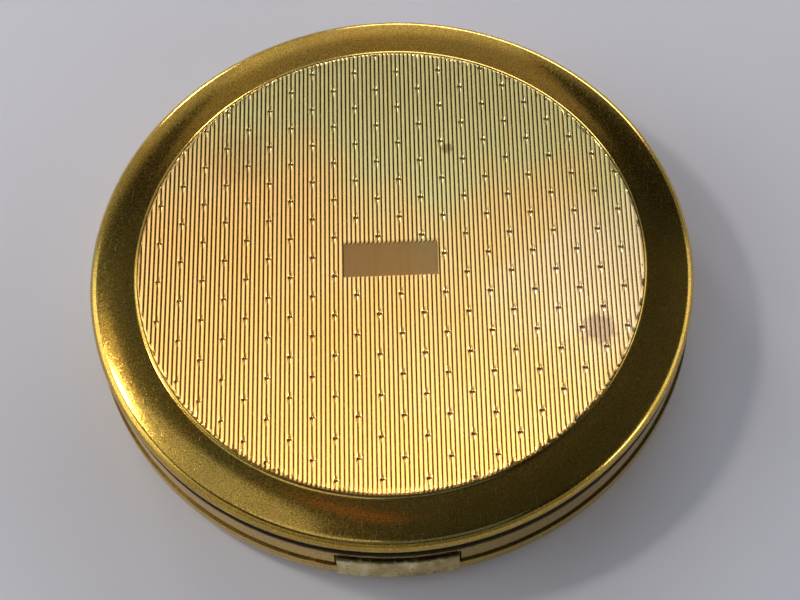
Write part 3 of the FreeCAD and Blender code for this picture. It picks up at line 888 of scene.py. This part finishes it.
# %% [markdown]
# ## The frame and the powder cup
# The neck of the inner frame slips inside the lid when the case shuts, and its deck carries the cup
# of powder.  Both are pressed sheet.  The deck has a low stiffening bead pressed into it.  The cup is
# drawn, so its corners are round, and it hangs by its flange.

# %% Frame and cup
def ringed(corners, ease, name, segments=192):
    """A turned ring whose section is a polygon with rounded corners."""
    return turned(name, rounded(corners, ease, 4), segments)


def gathered(name, pieces):
    """Puts several closed pieces into one object."""
    together = bmesh.new()
    for piece in pieces:
        together.from_mesh(piece.data)
        bpy.data.objects.remove(piece)
    mesh = bpy.data.meshes.new(name)
    together.to_mesh(mesh)
    together.free()
    made = bpy.data.objects.new(name, mesh)
    bpy.context.scene.collection.objects.link(made)
    return made


NECK = (36.72, 37.22)
NECK_Z = (3.0, 8.0)
DECK_Z = (5.6, 6.1)
BEAD_RADIUS, BEAD_HEIGHT, BEAD_WIDTH = 31.6, 0.22, 0.45


def frame_outline():
    """Neck and deck in one section.  The bead lowers both faces of the deck by a bell curve of the
    radius."""
    r = np.linspace(27.1, 36.2, 90)
    bead = BEAD_HEIGHT * np.exp(-((r - BEAD_RADIUS) / BEAD_WIDTH) ** 2)
    under = np.stack([r, DECK_Z[0] - bead], -1)
    over = np.stack([r, DECK_Z[1] - bead], -1)[::-1]
    edge, bend, steps = 0.15, 0.3, 5
    neck = rounded([(r[-1], DECK_Z[0]), (NECK[0], DECK_Z[0]), *rectangle(NECK, NECK_Z),
                    (NECK[0], DECK_Z[1]), (r[-1], DECK_Z[1])],
                   [0, bend, edge, edge, edge, edge, bend, 0], steps)
    return np.concatenate([under, neck[steps:-steps], over])


inner_frame = turned("inner_frame_pressing", frame_outline(), 256)
punched(inner_frame, loft("frame_punch", arc_block((36.70, 38.5), (2.0, 9.0), -FRONT, 13.1)))
dressed(inner_frame, inside_gilding, "base", "frame_gilt", "inner_frame")

cup_face, cup_headings = bends((0, 11.4), 0, [("go", 25.8), ("bend", 1.2, -90), ("go", 4.25),
                                              ("bend", 0.35, 90), ("go", 1.05)], 6)
powder_cup = turned("drawn_powder_cup", two_faced(cup_face, cup_headings, -0.38), 192)
dressed(powder_cup, cup_brass, "base", "well_brass", "powder_well")

# %% [markdown]
# ## Loose powder
# Face powder is fine and a little greasy, so it keeps the dents of shaking and settles in soft low
# mounds.  The free surface is a sum of waves of different length and direction, sunk towards the
# wall.  Its finish scatters light in every direction, with lumps and darker, compacted grains.

# %% The powder
def waves(x, y, lengths, seed):
    """A smooth uneven height between about -1 and 1: for each wavelength in millimetres, one sine
    wave in a direction and with a phase of its own, weighted by its length."""
    chance = np.random.default_rng(seed)
    total = 0.0
    for length in lengths:
        turn, phase = chance.uniform(0, FULL_TURN, 2)
        along = x * math.cos(turn) + y * math.sin(turn)
        total = total + length * np.sin(FULL_TURN * along / length + phase)
    return total / np.sum(lengths)


def mounded(name, outline, free, height, segments):
    """A turned disc whose first `free` outline points are moved along Z by height(x, y)."""
    loops = spun(outline, even_angles(segments))
    loops[:, :free, 2] += height(loops[:, :free, 0], loops[:, :free, 1])
    return loft(name, loops, ring=True)


def powder_height(x, y):
    """Mounds up to half a millimetre high that stay inside the cup, lower near its wall."""
    mound = 0.30 * waves(x, y, (31, 23, 17, 9.5, 6.1, 3.7, 2.3), 4)
    edge = smoothstep(22.5, 26.5, np.hypot(x, y))
    return 0.32 + mound * (1 - 0.6 * edge) + 0.35 * edge


def loose_powder():
    """Pale rose-beige powder: dull, soft, with packed lumps."""
    material, tree, place = new_finish("loose_face_powder")
    lumps = grain(tree, place, 1.8, 6.0, roughness=0.65)
    tint = ramp(tree, lumps, [(0.32, "#CFA084"), (0.50, "#E2BC9F"), (0.70, "#EFD2B9")])
    fine = grain(tree, place, 0.18, 3.0)
    skin = bumped(tree, fine, 0.05, bumped(tree, lumps, 0.30))
    return finished(material, tree, Base_Color=tint, Roughness=0.95, Specular_IOR_Level=0.2,
                    Sheen_Weight=0.25, Sheen_Roughness=0.6, Normal=skin)


POWDER_RADIUS = 26.55
POWDER_LEVEL = 8.6
surface = np.linspace(0, POWDER_RADIUS, 90)
bed = np.concatenate([np.stack([surface, np.full(len(surface), POWDER_LEVEL)], -1),
                      [(POWDER_RADIUS, 10.6), (25.6, 11.0), (0, 11.0)]])
powder = mounded("loose_powder", bed, len(surface), powder_height, 240)
dressed(powder, loose_powder(), "base", "face_powder", "powder_cake")

# %% [markdown]
# ## Hinges
# The main hinge is two leaves of sheet whose ends are rolled into knuckles round a steel pin: three
# knuckles on the base and two on the lid between them.  The inner lid has a small hinge of the same
# kind, with a wire spring round its pin.  A knuckle is a ring turned about the pin, and an arm ties
# it to its leaf.

# %% Main hinge
HINGE_Y, HINGE_Z = 37.6, 4.5


def knuckle(name, x, y, z, radii, ease=0.1):
    """A tube about a line along X, with rounded ends.  Its radii are the bore and the outside."""
    return turned_about_x(name, rounded(rectangle(radii, x), ease, 4), y, z)


def eased_bar(name, x, y, z, ease):
    """A bar along X with rounded edges: a rounded rectangle in y and z, which shrinks towards its
    middle along a quarter circle at each end."""
    section = rounded(rectangle(y, z), ease, 5)
    quarter = np.linspace(0, math.pi / 2, 5)
    inset = ease * np.concatenate([1 - np.sin(quarter), 1 - np.sin(quarter)[::-1]])
    run_in = ease * (1 - np.cos(quarter))
    along = np.concatenate([x[0] + run_in, x[1] - run_in[::-1]])
    middle = section.mean(0)
    scale = 1 - inset[:, None] / np.abs(section - middle).max(0)
    sections = middle + (section - middle) * scale[:, None, :]
    first = np.broadcast_to(along[:, None, None], (*sections.shape[:2], 1))
    return loft(name, np.concatenate([first, sections], -1))


def pin(name, half, y, z, radius):
    """A wire along X with slightly domed ends."""
    dome = radius * 0.3
    outline = [(0, -half), (radius - dome, -half), (radius, dome - half), (radius, half - dome),
               (radius - dome, half), (0, half)]
    return turned_about_x(name, outline, y, z)


def leaf(name, plate, knuckles, arm_y, arm_z, radii):
    """A curved plate with arms and knuckles."""
    parts = [plate]
    for index, x in enumerate(knuckles):
        parts.append(eased_bar(f"{name}_arm_{index}", x, arm_y, arm_z, 0.08))
        parts.append(knuckle(f"{name}_knuckle_{index}", x, HINGE_Y, HINGE_Z, radii))
    return gathered(name, parts)


HINGE_HALF = 8.0
KNUCKLE_RADIUS, PIN_RADIUS = 1.0, 0.45
half_leaf = math.degrees(math.asin(HINGE_HALF / 37.0))
base_plate = curved_plate("base_leaf_plate", (36.80, 37.24), (4.9, 7.9), half_leaf, 0.12, middle=-FRONT)
base_leaf = leaf("base_hinge_leaf_rolled", base_plate,
                 [(-HINGE_HALF, -4.85), (-1.6, 1.6), (4.85, HINGE_HALF)],
                 (36.5, 37.5), (4.92, 5.45), (PIN_RADIUS, KNUCKLE_RADIUS))
dressed(base_leaf, case_gilding, "base", "case_gilt", "base_hinge_leaf")
lid_plate = curved_plate("lid_leaf_plate", (37.12, 37.54), (2.95, 4.1), half_leaf - 0.4, 0.12,
                         middle=-FRONT)
lid_leaf = leaf("lid_hinge_leaf_rolled", lid_plate, [(-4.75, -1.7), (1.7, 4.75)],
                (36.9, 37.5), (3.52, 4.08), (0.50, KNUCKLE_RADIUS))
dressed(lid_leaf, case_gilding, "lid", "case_gilt", "lid_hinge_leaf")
dressed(pin("main_hinge_pin", HINGE_HALF, HINGE_Y, HINGE_Z, PIN_RADIUS), pin_steel, "base",
        "pin_steel", "hinge_pin")

# %% Small hinge and its spring
INNER_Y, INNER_Z = 34.3, 4.45
INNER_PIN, INNER_KNUCKLE = 0.30, 0.75

bracket = [eased_bar("bracket_plate", (-6.0, 6.0), (31.6, 35.6), (5.35, 5.6), 0.1)]
for side in (-1, 1):
    ear = tuple(sorted((side * 3.1, side * 6.0)))
    bracket.append(eased_bar(f"bracket_ear_{side + 1}", ear, (33.8, 34.8), (4.95, 5.5), 0.08))
    bracket.append(knuckle(f"bracket_knuckle_{side + 1}", ear, INNER_Y, INNER_Z,
                           (INNER_PIN, INNER_KNUCKLE)))
dressed(gathered("inner_bracket_rolled", bracket), inside_gilding, "base", "frame_gilt",
        "inner_hinge_bracket")
dressed(pin("small_hinge_pin", 6.0, INNER_Y, INNER_Z, INNER_PIN), pin_steel, "base", "pin_steel",
        "inner_hinge_pin")


def torsion_spring(name, wire, coil, pitch, turns, legs):
    """A coil about X with two straight legs.  A path point is the centre plus `coil` along the
    direction (0, sin t, cos t), with x falling by one pitch a turn.  A section is a circle spanned
    by that direction and X.  On a leg t stays at a full turn and y runs on."""
    t = np.linspace(0, FULL_TURN * turns, 32 * turns + 1)
    before, after = np.linspace(-legs[0], 0, 6)[:-1], np.linspace(0, legs[1], 6)[1:]
    run = np.concatenate([before, 0 * t, after])
    t = np.concatenate([0 * before, t, t[-1] + 0 * after])
    out = np.stack([0 * t, np.sin(t), np.cos(t)], -1)
    path = coil * out + np.stack([pitch * (turns / 2 - t / FULL_TURN), INNER_Y + run,
                                  np.full(len(t), INNER_Z)], -1)
    a = even_angles(12)[:, None]
    section = wire * (np.cos(a) * out[:, None] + np.sin(a) * np.array([1.0, 0, 0]))
    return loft(name, path[:, None] + section)


spring = torsion_spring("inner_lid_torsion_spring", 0.095, 0.46, 0.4, 5, (1.4, 1.2))
dressed(spring, spring_steel, "base", "spring_steel", "inner_lid_spring")

# %% [markdown]
# ## The latch behind the catch
# A thin spring leaf is riveted to the neck by two studs.  The nose of the catch snaps over the
# leaf's raised bump.

# %% Latch leaf and rivets
def stud(name, turn, profile, steps=24):
    """A rivet turned about a line that leaves the case's axis at an angle.  The profile lists its
    distance from the axis and its own radius."""
    a = math.radians(turn)
    out = np.array([math.cos(a), math.sin(a), 0])
    aside = np.array([-math.sin(a), math.cos(a), 0])
    up = np.array([0, 0, 1])
    distance, radius = np.array(profile).T
    b = even_angles(steps)[:, None]
    circle = np.cos(b) * aside + np.sin(b) * up
    loops = distance[:, None, None] * out + radius[:, None, None] * circle + RIVET_Z * up
    return loft(name, loops)


RIVET_Z = 5.7
latch = gathered("latch_leaf_formed", [
    curved_plate("latch_leaf", (37.23, 37.36), (4.9, 6.4), 9.0, 0.06),
    curved_plate("latch_bump", (37.30, 37.49), (5.6, 6.3), 4.0, 0.09)])
dressed(latch, spring_steel, "base", "spring_steel", "latch_spring")
HEAD = [(37.22, 0.34), (37.38, 0.34), (37.38, 0.54), (37.44, 0.52), (37.48, 0.40), (37.495, 0.20)]
RIVET_TURN = 7.4
rivets = gathered("latch_rivets_domed", [
    stud(f"rivet_{side}", FRONT + side * RIVET_TURN, HEAD) for side in (-1, 1)])
dressed(rivets, cup_brass, "base", "well_brass", "latch_rivets")

# %% [markdown]
# ## The inner lid
# A thin sprung door keeps the powder in.  It is brushed, not polished, and a bead is pressed near
# its edge to keep it flat.  Its hinge side is sheared straight.  A curved tab at the front touches
# the mirror's ring when the case is shut.

# %% Inner lid
door_face, door_headings = bends((0, 4.42), 0, [
    ("go", 31.6), ("bend", 1.0, 20), ("bend", 1.0, -40), ("bend", 1.0, 20), ("go", 2.86)], 4)
door = turned("inner_lid_door", two_faced(door_face, door_headings, 0.22), 256)
punched(door, mesh_piece("straight_punch", *block((-40, 40), (33.1, 40), (3, 6))))
door_parts = [door]
for side in (-1, 1):
    span = tuple(sorted((side * 1.5, side * 3.0)))
    door_parts.append(eased_bar(f"door_arm_{side + 1}", span, (32.7, 34.1), (4.42, 4.64), 0.06))
    door_parts.append(knuckle(f"door_knuckle_{side + 1}", span, INNER_Y, INNER_Z,
                              (0.35, INNER_KNUCKLE)))
door_finish = brushed_gilding("cross_brushed_gilding", "#E8C468", 35)
dressed(gathered("inner_lid_brushed", door_parts), door_finish, "inner_lid", "frame_gilt", "inner_lid")
tab = curved_plate("finger_tab", (34.85, 35.25), (2.7, 4.5), 6.0, 0.14)
dressed(tab, inside_gilding, "inner_lid", "frame_gilt", "inner_lid_tab")

# %% [markdown]
# ## Sifter
# The sifter is a shallow cup without a floor.  Its lip has fine teeth, so that a finger can turn it,
# and a hoop clamps a net across its inner end.  The net is woven nylon with about seven threads to a
# millimetre, drawn here with three, because finer ones would blur into a plain grey.

# %% Sifter cup and hoop
def toothed(name, outline, teeth, depth, past, segments):
    """A turned ring whose points beyond a radius are moved in and out by a wave of the angle."""
    a = even_angles(segments)
    loops = spun(outline, a)
    far = smoothstep(past, past + 0.3, np.hypot(loops[..., 0], loops[..., 1]))
    pull = 1 - depth * far * (0.5 + 0.5 * np.cos(teeth * a))[:, None] / past
    loops[..., :2] *= pull[..., None]
    return loft(name, loops, ring=True)


sifter_face, sifter_headings = bends((24.9, 8.5), 0, [("go", 0.9), ("bend", 0.7, -90), ("go", 2.33),
                                                      ("bend", 0.3, 90), ("go", 0.8)], 6)
sifter_outline = two_faced(sifter_face, sifter_headings, -0.22)
sifter_cup = toothed("sifter_cup", sifter_outline, teeth=120, depth=0.12, past=27.2, segments=720)
dressed(sifter_cup, inside_gilding, "sifter", "frame_gilt", "sifter_ring")
hoop = ringed(rectangle((25.68, 26.08), (5.55, 8.05)), 0.12, "clamping_hoop")
dressed(hoop, cup_brass, "sifter", "well_brass", "sifter_hoop")


# %% The net
def nylon_net():
    """Plain-woven nylon.  A thread is where a wave of x, or of y, stands above a level.  Between the
    threads there is nothing, so the surface is transparent there, and powder dust fills some holes."""
    material, tree, place = new_finish("woven_nylon_net")
    x, y, _ = node(tree, "ShaderNodeSeparateXYZ", {0: place}).outputs
    turns = FULL_TURN / (NET_SPACING * MM)
    warp = number(tree, "COSINE", number(tree, "MULTIPLY", x, turns))
    weft = number(tree, "COSINE", number(tree, "MULTIPLY", y, turns))
    thread = number(tree, "MAXIMUM", warp, weft)
    dust = ramp(tree, grain(tree, place, 2.2, 4.0), [(0.50, 0.0), (0.68, 0.8)])
    solid = number(tree, "MAXIMUM", spread(tree, thread, 0.10, 0.35), dust)
    tint = blended(tree, dust, "#E9E2D2", "#E2BC9F")
    over = number(tree, "MULTIPLY_ADD", number(tree, "MULTIPLY", warp, weft), 0.3, thread)
    return finished(material, tree, Base_Color=tint, Roughness=0.55, Alpha=solid,
                    Normal=bumped(tree, over, 0.03))


NET_SPACING = 0.33
NET_RADIUS = 26.03
NET_Z = (8.10, 8.17)


def flat_sheet(r, z):
    """The outline of a flat sheet: its lower face outwards and its upper face back."""
    return np.concatenate([np.stack([r, z[0] + 0 * r], -1), np.stack([r, z[1] + 0 * r], -1)[::-1]])


def net_height(x, y):
    """The slight waviness that is left when the net is stretched."""
    return 0.03 * waves(x, y, (19, 11), 2)


net_outline = flat_sheet(np.linspace(0, NET_RADIUS, 60), NET_Z)
net = mounded("sifter_net", net_outline, len(net_outline), net_height, 192)
dressed(net, nylon_net(), "sifter", "gauze_net", "sifter_gauze")

# %% [markdown]
# ## The puff
# The puff is a flat round pad: cotton velour on the side that takes up powder, satin on the back, and
# a satin ribbon for the fingers.  The pad is crowned and a little lumpy, pulled in where it is
# sewn at the edge.  The satin puckers in short folds along that seam.  The pad is so thin and so
# firmly sewn that its shape is worked out directly instead of by a simulation.

# %% The velour pad
PUFF_RADIUS = 25.0


def pad_height(x, y):
    """Lumps of the filling, which fade out towards the seam."""
    fade = 1 - smoothstep(0.80, 1.0, np.hypot(x, y) / PUFF_RADIUS)
    return 0.11 * fade * waves(x, y, (27, 15, 9, 6, 4.3), 9)


def cotton_velour():
    """Short cotton pile: soft tufts that lie in changing directions, with powder rubbed into them."""
    material, tree, place = new_finish("cotton_velour")
    nap = grain(tree, place, 3.5, 3.0)
    pile = grain(tree, place, 0.22, 3.0, roughness=0.6)
    tint = ramp(tree, nap, [(0.35, "#E8CDB2"), (0.65, "#F6E6D4")])
    tint = blended(tree, ramp(tree, pile, [(0.35, 0.35), (0.60, 0.0)]), tint, "#C9A384")
    return finished(material, tree, Base_Color=tint, Roughness=0.9, Sheen_Weight=0.6,
                    Sheen_Roughness=0.45, Specular_IOR_Level=0.2,
                    Normal=bumped(tree, pile, 0.16, bumped(tree, nap, 0.25)))


r = PUFF_RADIUS * np.sin(np.linspace(0, math.pi / 2, 80))
crown = np.stack([r, 6.35 + 1.45 * (1 - (r / PUFF_RADIUS) ** 5) ** 0.5], -1)
pad_outline = np.concatenate([crown, [(24.85, 6.10), (24.5, 5.95), (12.0, 5.92), (0, 5.92)]])
pad = mounded("velour_pad", pad_outline, len(crown), pad_height, 256)
dressed(pad, cotton_velour(), "sifter", "puff_velour", "puff_pad")


# %% Satin back and ribbon
def woven_satin(name, colour, shade, turn):
    """Satin weave: long floats that all run one way, so the light draws out across them.  The
    threads are about 0.08 mm apart and are drawn at twice that."""
    material, tree, place = new_finish(name)
    threads = grain(tree, place, 1.6, 2.0, (1.6 / 0.16, 1, 1), turn)
    tint = blended(tree, ramp(tree, threads, [(0.35, 0.0), (0.65, 1.0)]), shade, colour)
    rough = number(tree, "MULTIPLY_ADD", threads, 0.22, 0.24)
    return finished(material, tree, Base_Color=tint, Roughness=rough, Sheen_Weight=0.3,
                    Sheen_Roughness=0.3, Anisotropic=0.6, Normal=bumped(tree, threads, 0.03))


def satin_disc(name, z, thickness):
    """The back's two faces, puckered: a short wave of the angle that grows towards the edge."""
    r = np.concatenate([np.linspace(0, 20, 20), np.linspace(20.4, PUFF_RADIUS - 0.1, 16)])
    outline = flat_sheet(r, (z, z + thickness))

    def pucker(x, y):
        """Small folds round the edge, not quite evenly spaced, which grow outwards."""
        grow = smoothstep(17.0, 24.9, np.hypot(x, y))
        turn = np.arctan2(y, x)
        return 0.09 * grow * np.cos(62 * turn + 2 * np.sin(3 * turn))
    return mounded(name, outline, len(outline), pucker, 496)


back = satin_disc("puff_satin_back", 5.66, 0.12)
dressed(back, woven_satin("woven_satin", "#F3D9C6", "#D8AE97", 25), "sifter", "puff_satin",
        "puff_backing")


def ribbon(name, half_length, half_width, z, thickness):
    """A flat ribbon along X.  Its height is nearest the pad at the sewn ends and stands off in the
    middle, with a slight twist: a half wave along it, plus a small product of both directions."""
    along = np.linspace(-1, 1, 81)[:, None]
    across = np.concatenate([np.linspace(-1, 1, 13), np.linspace(1, -1, 13)])
    side = np.repeat([0.0, thickness], 13)
    lift = -0.20 * np.cos(along * math.pi / 2) + 0.03 * along * across * np.cos(along * math.pi / 2)
    edge = half_width * (1 + 0.012 * np.sin(9 * along))
    loops = np.broadcast_arrays(half_length * along, edge * across, z + lift + side)
    return loft(name, np.stack(loops, -1))


RIBBON_HALF = (18.9, 3.4)
band = ribbon("puff_satin_ribbon", *RIBBON_HALF, 5.44, 0.11)
dressed(band, woven_satin("ribbon_satin", "#EFC9B4", "#CF9C86", 90), "sifter", "puff_satin",
        "puff_ribbon")

# %% [markdown]
# ## The mirror
# A round glass, silvered at the back and ground to a narrow bevel, beds on a card in the lid.  A
# pressed gilt ring with fine milling holds it.

# %% Card, glass and ring
def pressed_card():
    """Grey-brown board: short fibres, a little fluff."""
    material, tree, place = new_finish("pressed_grey_board")
    fibres = grain(tree, place, 1.5, 4.0, (1, 4, 1), 15)
    tint = ramp(tree, fibres, [(0.35, "#8A8073"), (0.65, "#A89D8C")])
    return finished(material, tree, Base_Color=tint, Roughness=0.9, Normal=bumped(tree, fibres, 0.05))


def silvered_glass():
    """Silver seen through glass: nearly a perfect mirror, slightly green.  Powder dust dulls it in
    smears, and the silver has gone in brown specks near the edge."""
    material, tree, place = new_finish("silvered_mirror_glass")
    near = spread(tree, from_axis(tree, place), 27 * MM, 33 * MM, 0.0, 0.16)
    specks = number(tree, "ADD", grain(tree, place, 0.9, 4.0), near)
    lost = ramp(tree, specks, [(0.74, 0.0), (0.80, 0.85)])
    smears = grain(tree, place, 9, 5.0, (1, 2.4, 1), 40, 0.65)
    dust = ramp(tree, grain(tree, place, 0.35, 3.0), [(0.55, 0.0), (0.75, 0.3)])
    tint = blended(tree, lost, blended(tree, dust, "#E6ECE9", "#D9C6B2"), "#5A4632")
    rough = spread(tree, smears, 0.42, 0.75, 0.015, 0.22)
    return metal(material, tree, tint, rough, bumped(tree, dust, 0.002))


GLASS_RADIUS = 33.35
card = ringed(rectangle((0, GLASS_RADIUS), (0.65, 0.95)), [0, 0.08, 0.08, 0], "mirror_board")
dressed(card, pressed_card(), "lid", "mirror_card", "mirror_card")
glass_corners = [(0, 0.96), (GLASS_RADIUS, 0.96), (GLASS_RADIUS, 1.85), (31.2, 2.15), (0, 2.15)]
glass = ringed(glass_corners, [0, 0.08, 0.08, 0.03, 0], "bevelled_mirror")
dressed(glass, silvered_glass(), "lid", "mirror_silver", "mirror_glass")

bezel_face, bezel_headings = bends((32.6, 2.39), 30, [
    ("bend", 0.8, -30), *[("go", 0.3)] * 8, ("bend", 0.8, -90), ("go", 0.3)], 6)
NOTCHES, NOTCH_DEPTH = 180, 0.05


def milled_ring(name, outline, segments):
    """The bezel's ring, with notches that are a wave of the angle along its flat."""
    a = even_angles(segments)
    loops = spun(outline, a)
    r = np.hypot(loops[..., 0], loops[..., 1])
    flat = smoothstep(33.2, 33.5, r) * (1 - smoothstep(34.3, 34.6, r)) * (loops[..., 2] > 2.3)
    loops[..., 2] -= NOTCH_DEPTH * flat * (0.5 + 0.5 * np.cos(NOTCHES * a))[:, None]
    return loft(name, loops, ring=True)


bezel_outline = two_faced(bezel_face, bezel_headings, -0.25)
bezel = milled_ring("mirror_ring_milled", bezel_outline, 1080)
dressed(bezel, inside_gilding, "lid", "frame_gilt", "mirror_bezel")

# %% [markdown]
# ## Floor, camera and light
# The compact lies on a smooth pale board.  The camera stands in front and high, 60 degrees above the
# board, with a long lens, and leans by two degrees, as a hand-held one does.
#
# Gilding has no colour of its own: it shows the room, tinted.  So the lamps are placed by what the
# metal should show.  A small bright lamp at the left gives the ring its oval highlight, and a pale
# card behind gives it a broad soft patch.  The room overhead stays dim, which leaves the ring dark
# between them.  The ribs' broad flanks face left, so the room's left side, low down, lights the
# panel.  A low window and a lamp behind the compact throw its shadow forwards, and the window at the
# right, the ceiling and the front lamps fill it a little.

# %% Floor
def pale_board():
    """Smooth, cool, slightly mottled board."""
    material, tree, place = new_finish("pale_painted_board")
    mottle = grain(tree, place, 60, 3.0)
    tint = ramp(tree, mottle, [(0.35, "#E2E3EA"), (0.65, "#E7E8EF")])
    fleck = grain(tree, place, 0.8, 2.0)
    return finished(material, tree, Base_Color=tint, Roughness=0.62, Normal=bumped(tree, fleck, 0.01))


FLOOR_HALF = 1500
floor = mesh_piece("floor", [(-FLOOR_HALF, -FLOOR_HALF, 0), (FLOOR_HALF, -FLOOR_HALF, 0),
                             (FLOOR_HALF, FLOOR_HALF, 0), (-FLOOR_HALF, FLOOR_HALF, 0)], [(0, 1, 2, 3)])
floor.data.materials.append(pale_board())

# %% Camera
FOCAL_LENGTH = 91.37
CAMERA_PLACE = (6.5, -125.5, 220.9 + FACE_Z)
CAMERA_TURN = (28.436, 2.038, -1.20)

camera_data = bpy.data.cameras.new("camera")
camera_data.lens = FOCAL_LENGTH
camera_data.sensor_width = 36.0
camera_data.clip_start = 0.01
camera = bpy.data.objects.new("camera", camera_data)
bpy.context.scene.collection.objects.link(camera)
camera.location = Vector(CAMERA_PLACE) * MM
camera.rotation_euler = Euler([math.radians(a) for a in CAMERA_TURN], "XYZ")
bpy.context.scene.camera = camera
print("camera is", round(camera.location.length / MM), "mm from the origin")


# %% Lamps
def soft_lamp(name, direction, distance, size, brightness, colour, shape="RECTANGLE"):
    """An area lamp in a direction from the compact, in metres, facing it.  Its power is what gives
    its face that brightness: brightness times pi times its area."""
    lamp = bpy.data.lights.new(name, "AREA")
    lamp.shape = shape
    lamp.size, lamp.size_y = size
    area = size[0] * size[1] * (math.pi / 4 if shape == "DISK" else 1)
    lamp.energy = brightness * math.pi * area
    lamp.color = linear(colour)[:3]
    stand = bpy.data.objects.new(name, lamp)
    bpy.context.scene.collection.objects.link(stand)
    towards = Vector(direction).normalized()
    stand.location = towards * distance
    stand.rotation_euler = towards.to_track_quat("Z", "Y").to_euler()
    return stand


LAMPS = [       # name, direction, distance, size, brightness, colour, shape
    ("lamp_left", (-0.61, 0.19, 0.77), 0.55, (0.07, 0.07), 40.0, "#FFF8F0", "DISK"),
    ("lamp_left_glow", (-0.56, 0.27, 0.78), 1.05, (0.30, 0.30), 0.5, "#FFE9C4", "DISK"),
    ("lamp_front_left", (-0.42, -0.02, 0.91), 0.5, (0.26, 0.26), 0.45, "#F4F4FF", "DISK"),
    ("card_behind", (-0.03, 0.80, 0.60), 0.9, (0.44, 0.50), 0.30, "#F6E6DC"),
    ("window_right", (0.90, -0.35, 0.22), 1.2, (0.35, 0.25), 5.0, "#E2E9FF"),
    ("ceiling_front", (0.05, -0.55, 0.85), 1.4, (1.0, 0.6), 0.30, "#B0C4FF"),
    ("lamp_front", (-0.25, -0.32, 0.91), 0.7, (0.28, 0.28), 0.65, "#F0F2FF", "DISK"),
    ("lamp_behind_left", (-0.42, 0.86, 0.29), 0.6, (0.10, 0.10), 22.0, "#FFF4EC", "DISK"),
    ("window_behind", (0.25, 0.93, 0.27), 1.1, (0.80, 0.25), 6.0, "#EEF0FF"),
    ("warm_shelf", (-0.08, 0.13, 0.98), 0.8, (0.05, 0.16), 0.2, "#FF8A4C"),
]
for lamp_row in LAMPS:
    soft_lamp(*lamp_row)


ROOM_STRENGTH = 2.15


def dim_room():
    """A room that is pale near the floor and dim overhead.  Three ramps are multiplied.  The first
    reads the height of the direction in which the light comes, from 0 at the horizon to 1 overhead,
    the second how far behind it comes from, and the third how far to the right."""
    world = bpy.data.worlds.new("room")
    world.use_nodes = True
    tree = world.node_tree
    sight = node(tree, "ShaderNodeTexCoord").outputs["Generated"]
    across, depth, height = node(tree, "ShaderNodeSeparateXYZ", {0: sight}).outputs
    shade = ramp(tree, number(tree, "MULTIPLY_ADD", across, 0.10, height), [
        (0.0, 0.90), (0.38, 0.92), (0.53, 1.0), (0.56, 0.72), (0.62, 0.08), (1.0, 0.03)])
    side = ramp(tree, number(tree, "MULTIPLY_ADD", depth, 0.5, 0.5), [
        (0.05, 0.12), (0.32, 0.25), (0.48, 0.95), (0.70, 1.0), (0.742, 0.74), (0.785, 0.18),
        (1.0, 0.20)])
    left_right = ramp(tree, number(tree, "MULTIPLY_ADD", across, 0.5, 0.5), [
        (0.45, 1.0), (0.62, 0.66), (1.0, 0.66)])
    shade = blended(tree, 1.0, blended(tree, 1.0, shade, side, "MULTIPLY"), left_right, "MULTIPLY")
    tree.nodes["Background"].inputs["Strength"].default_value = ROOM_STRENGTH
    tree.links.new(shade, tree.nodes["Background"].inputs["Color"])
    return world


bpy.context.scene.world = dim_room()
bpy.context.scene.view_settings.view_transform = "Standard"
print("lamps:", len(bpy.data.lights))
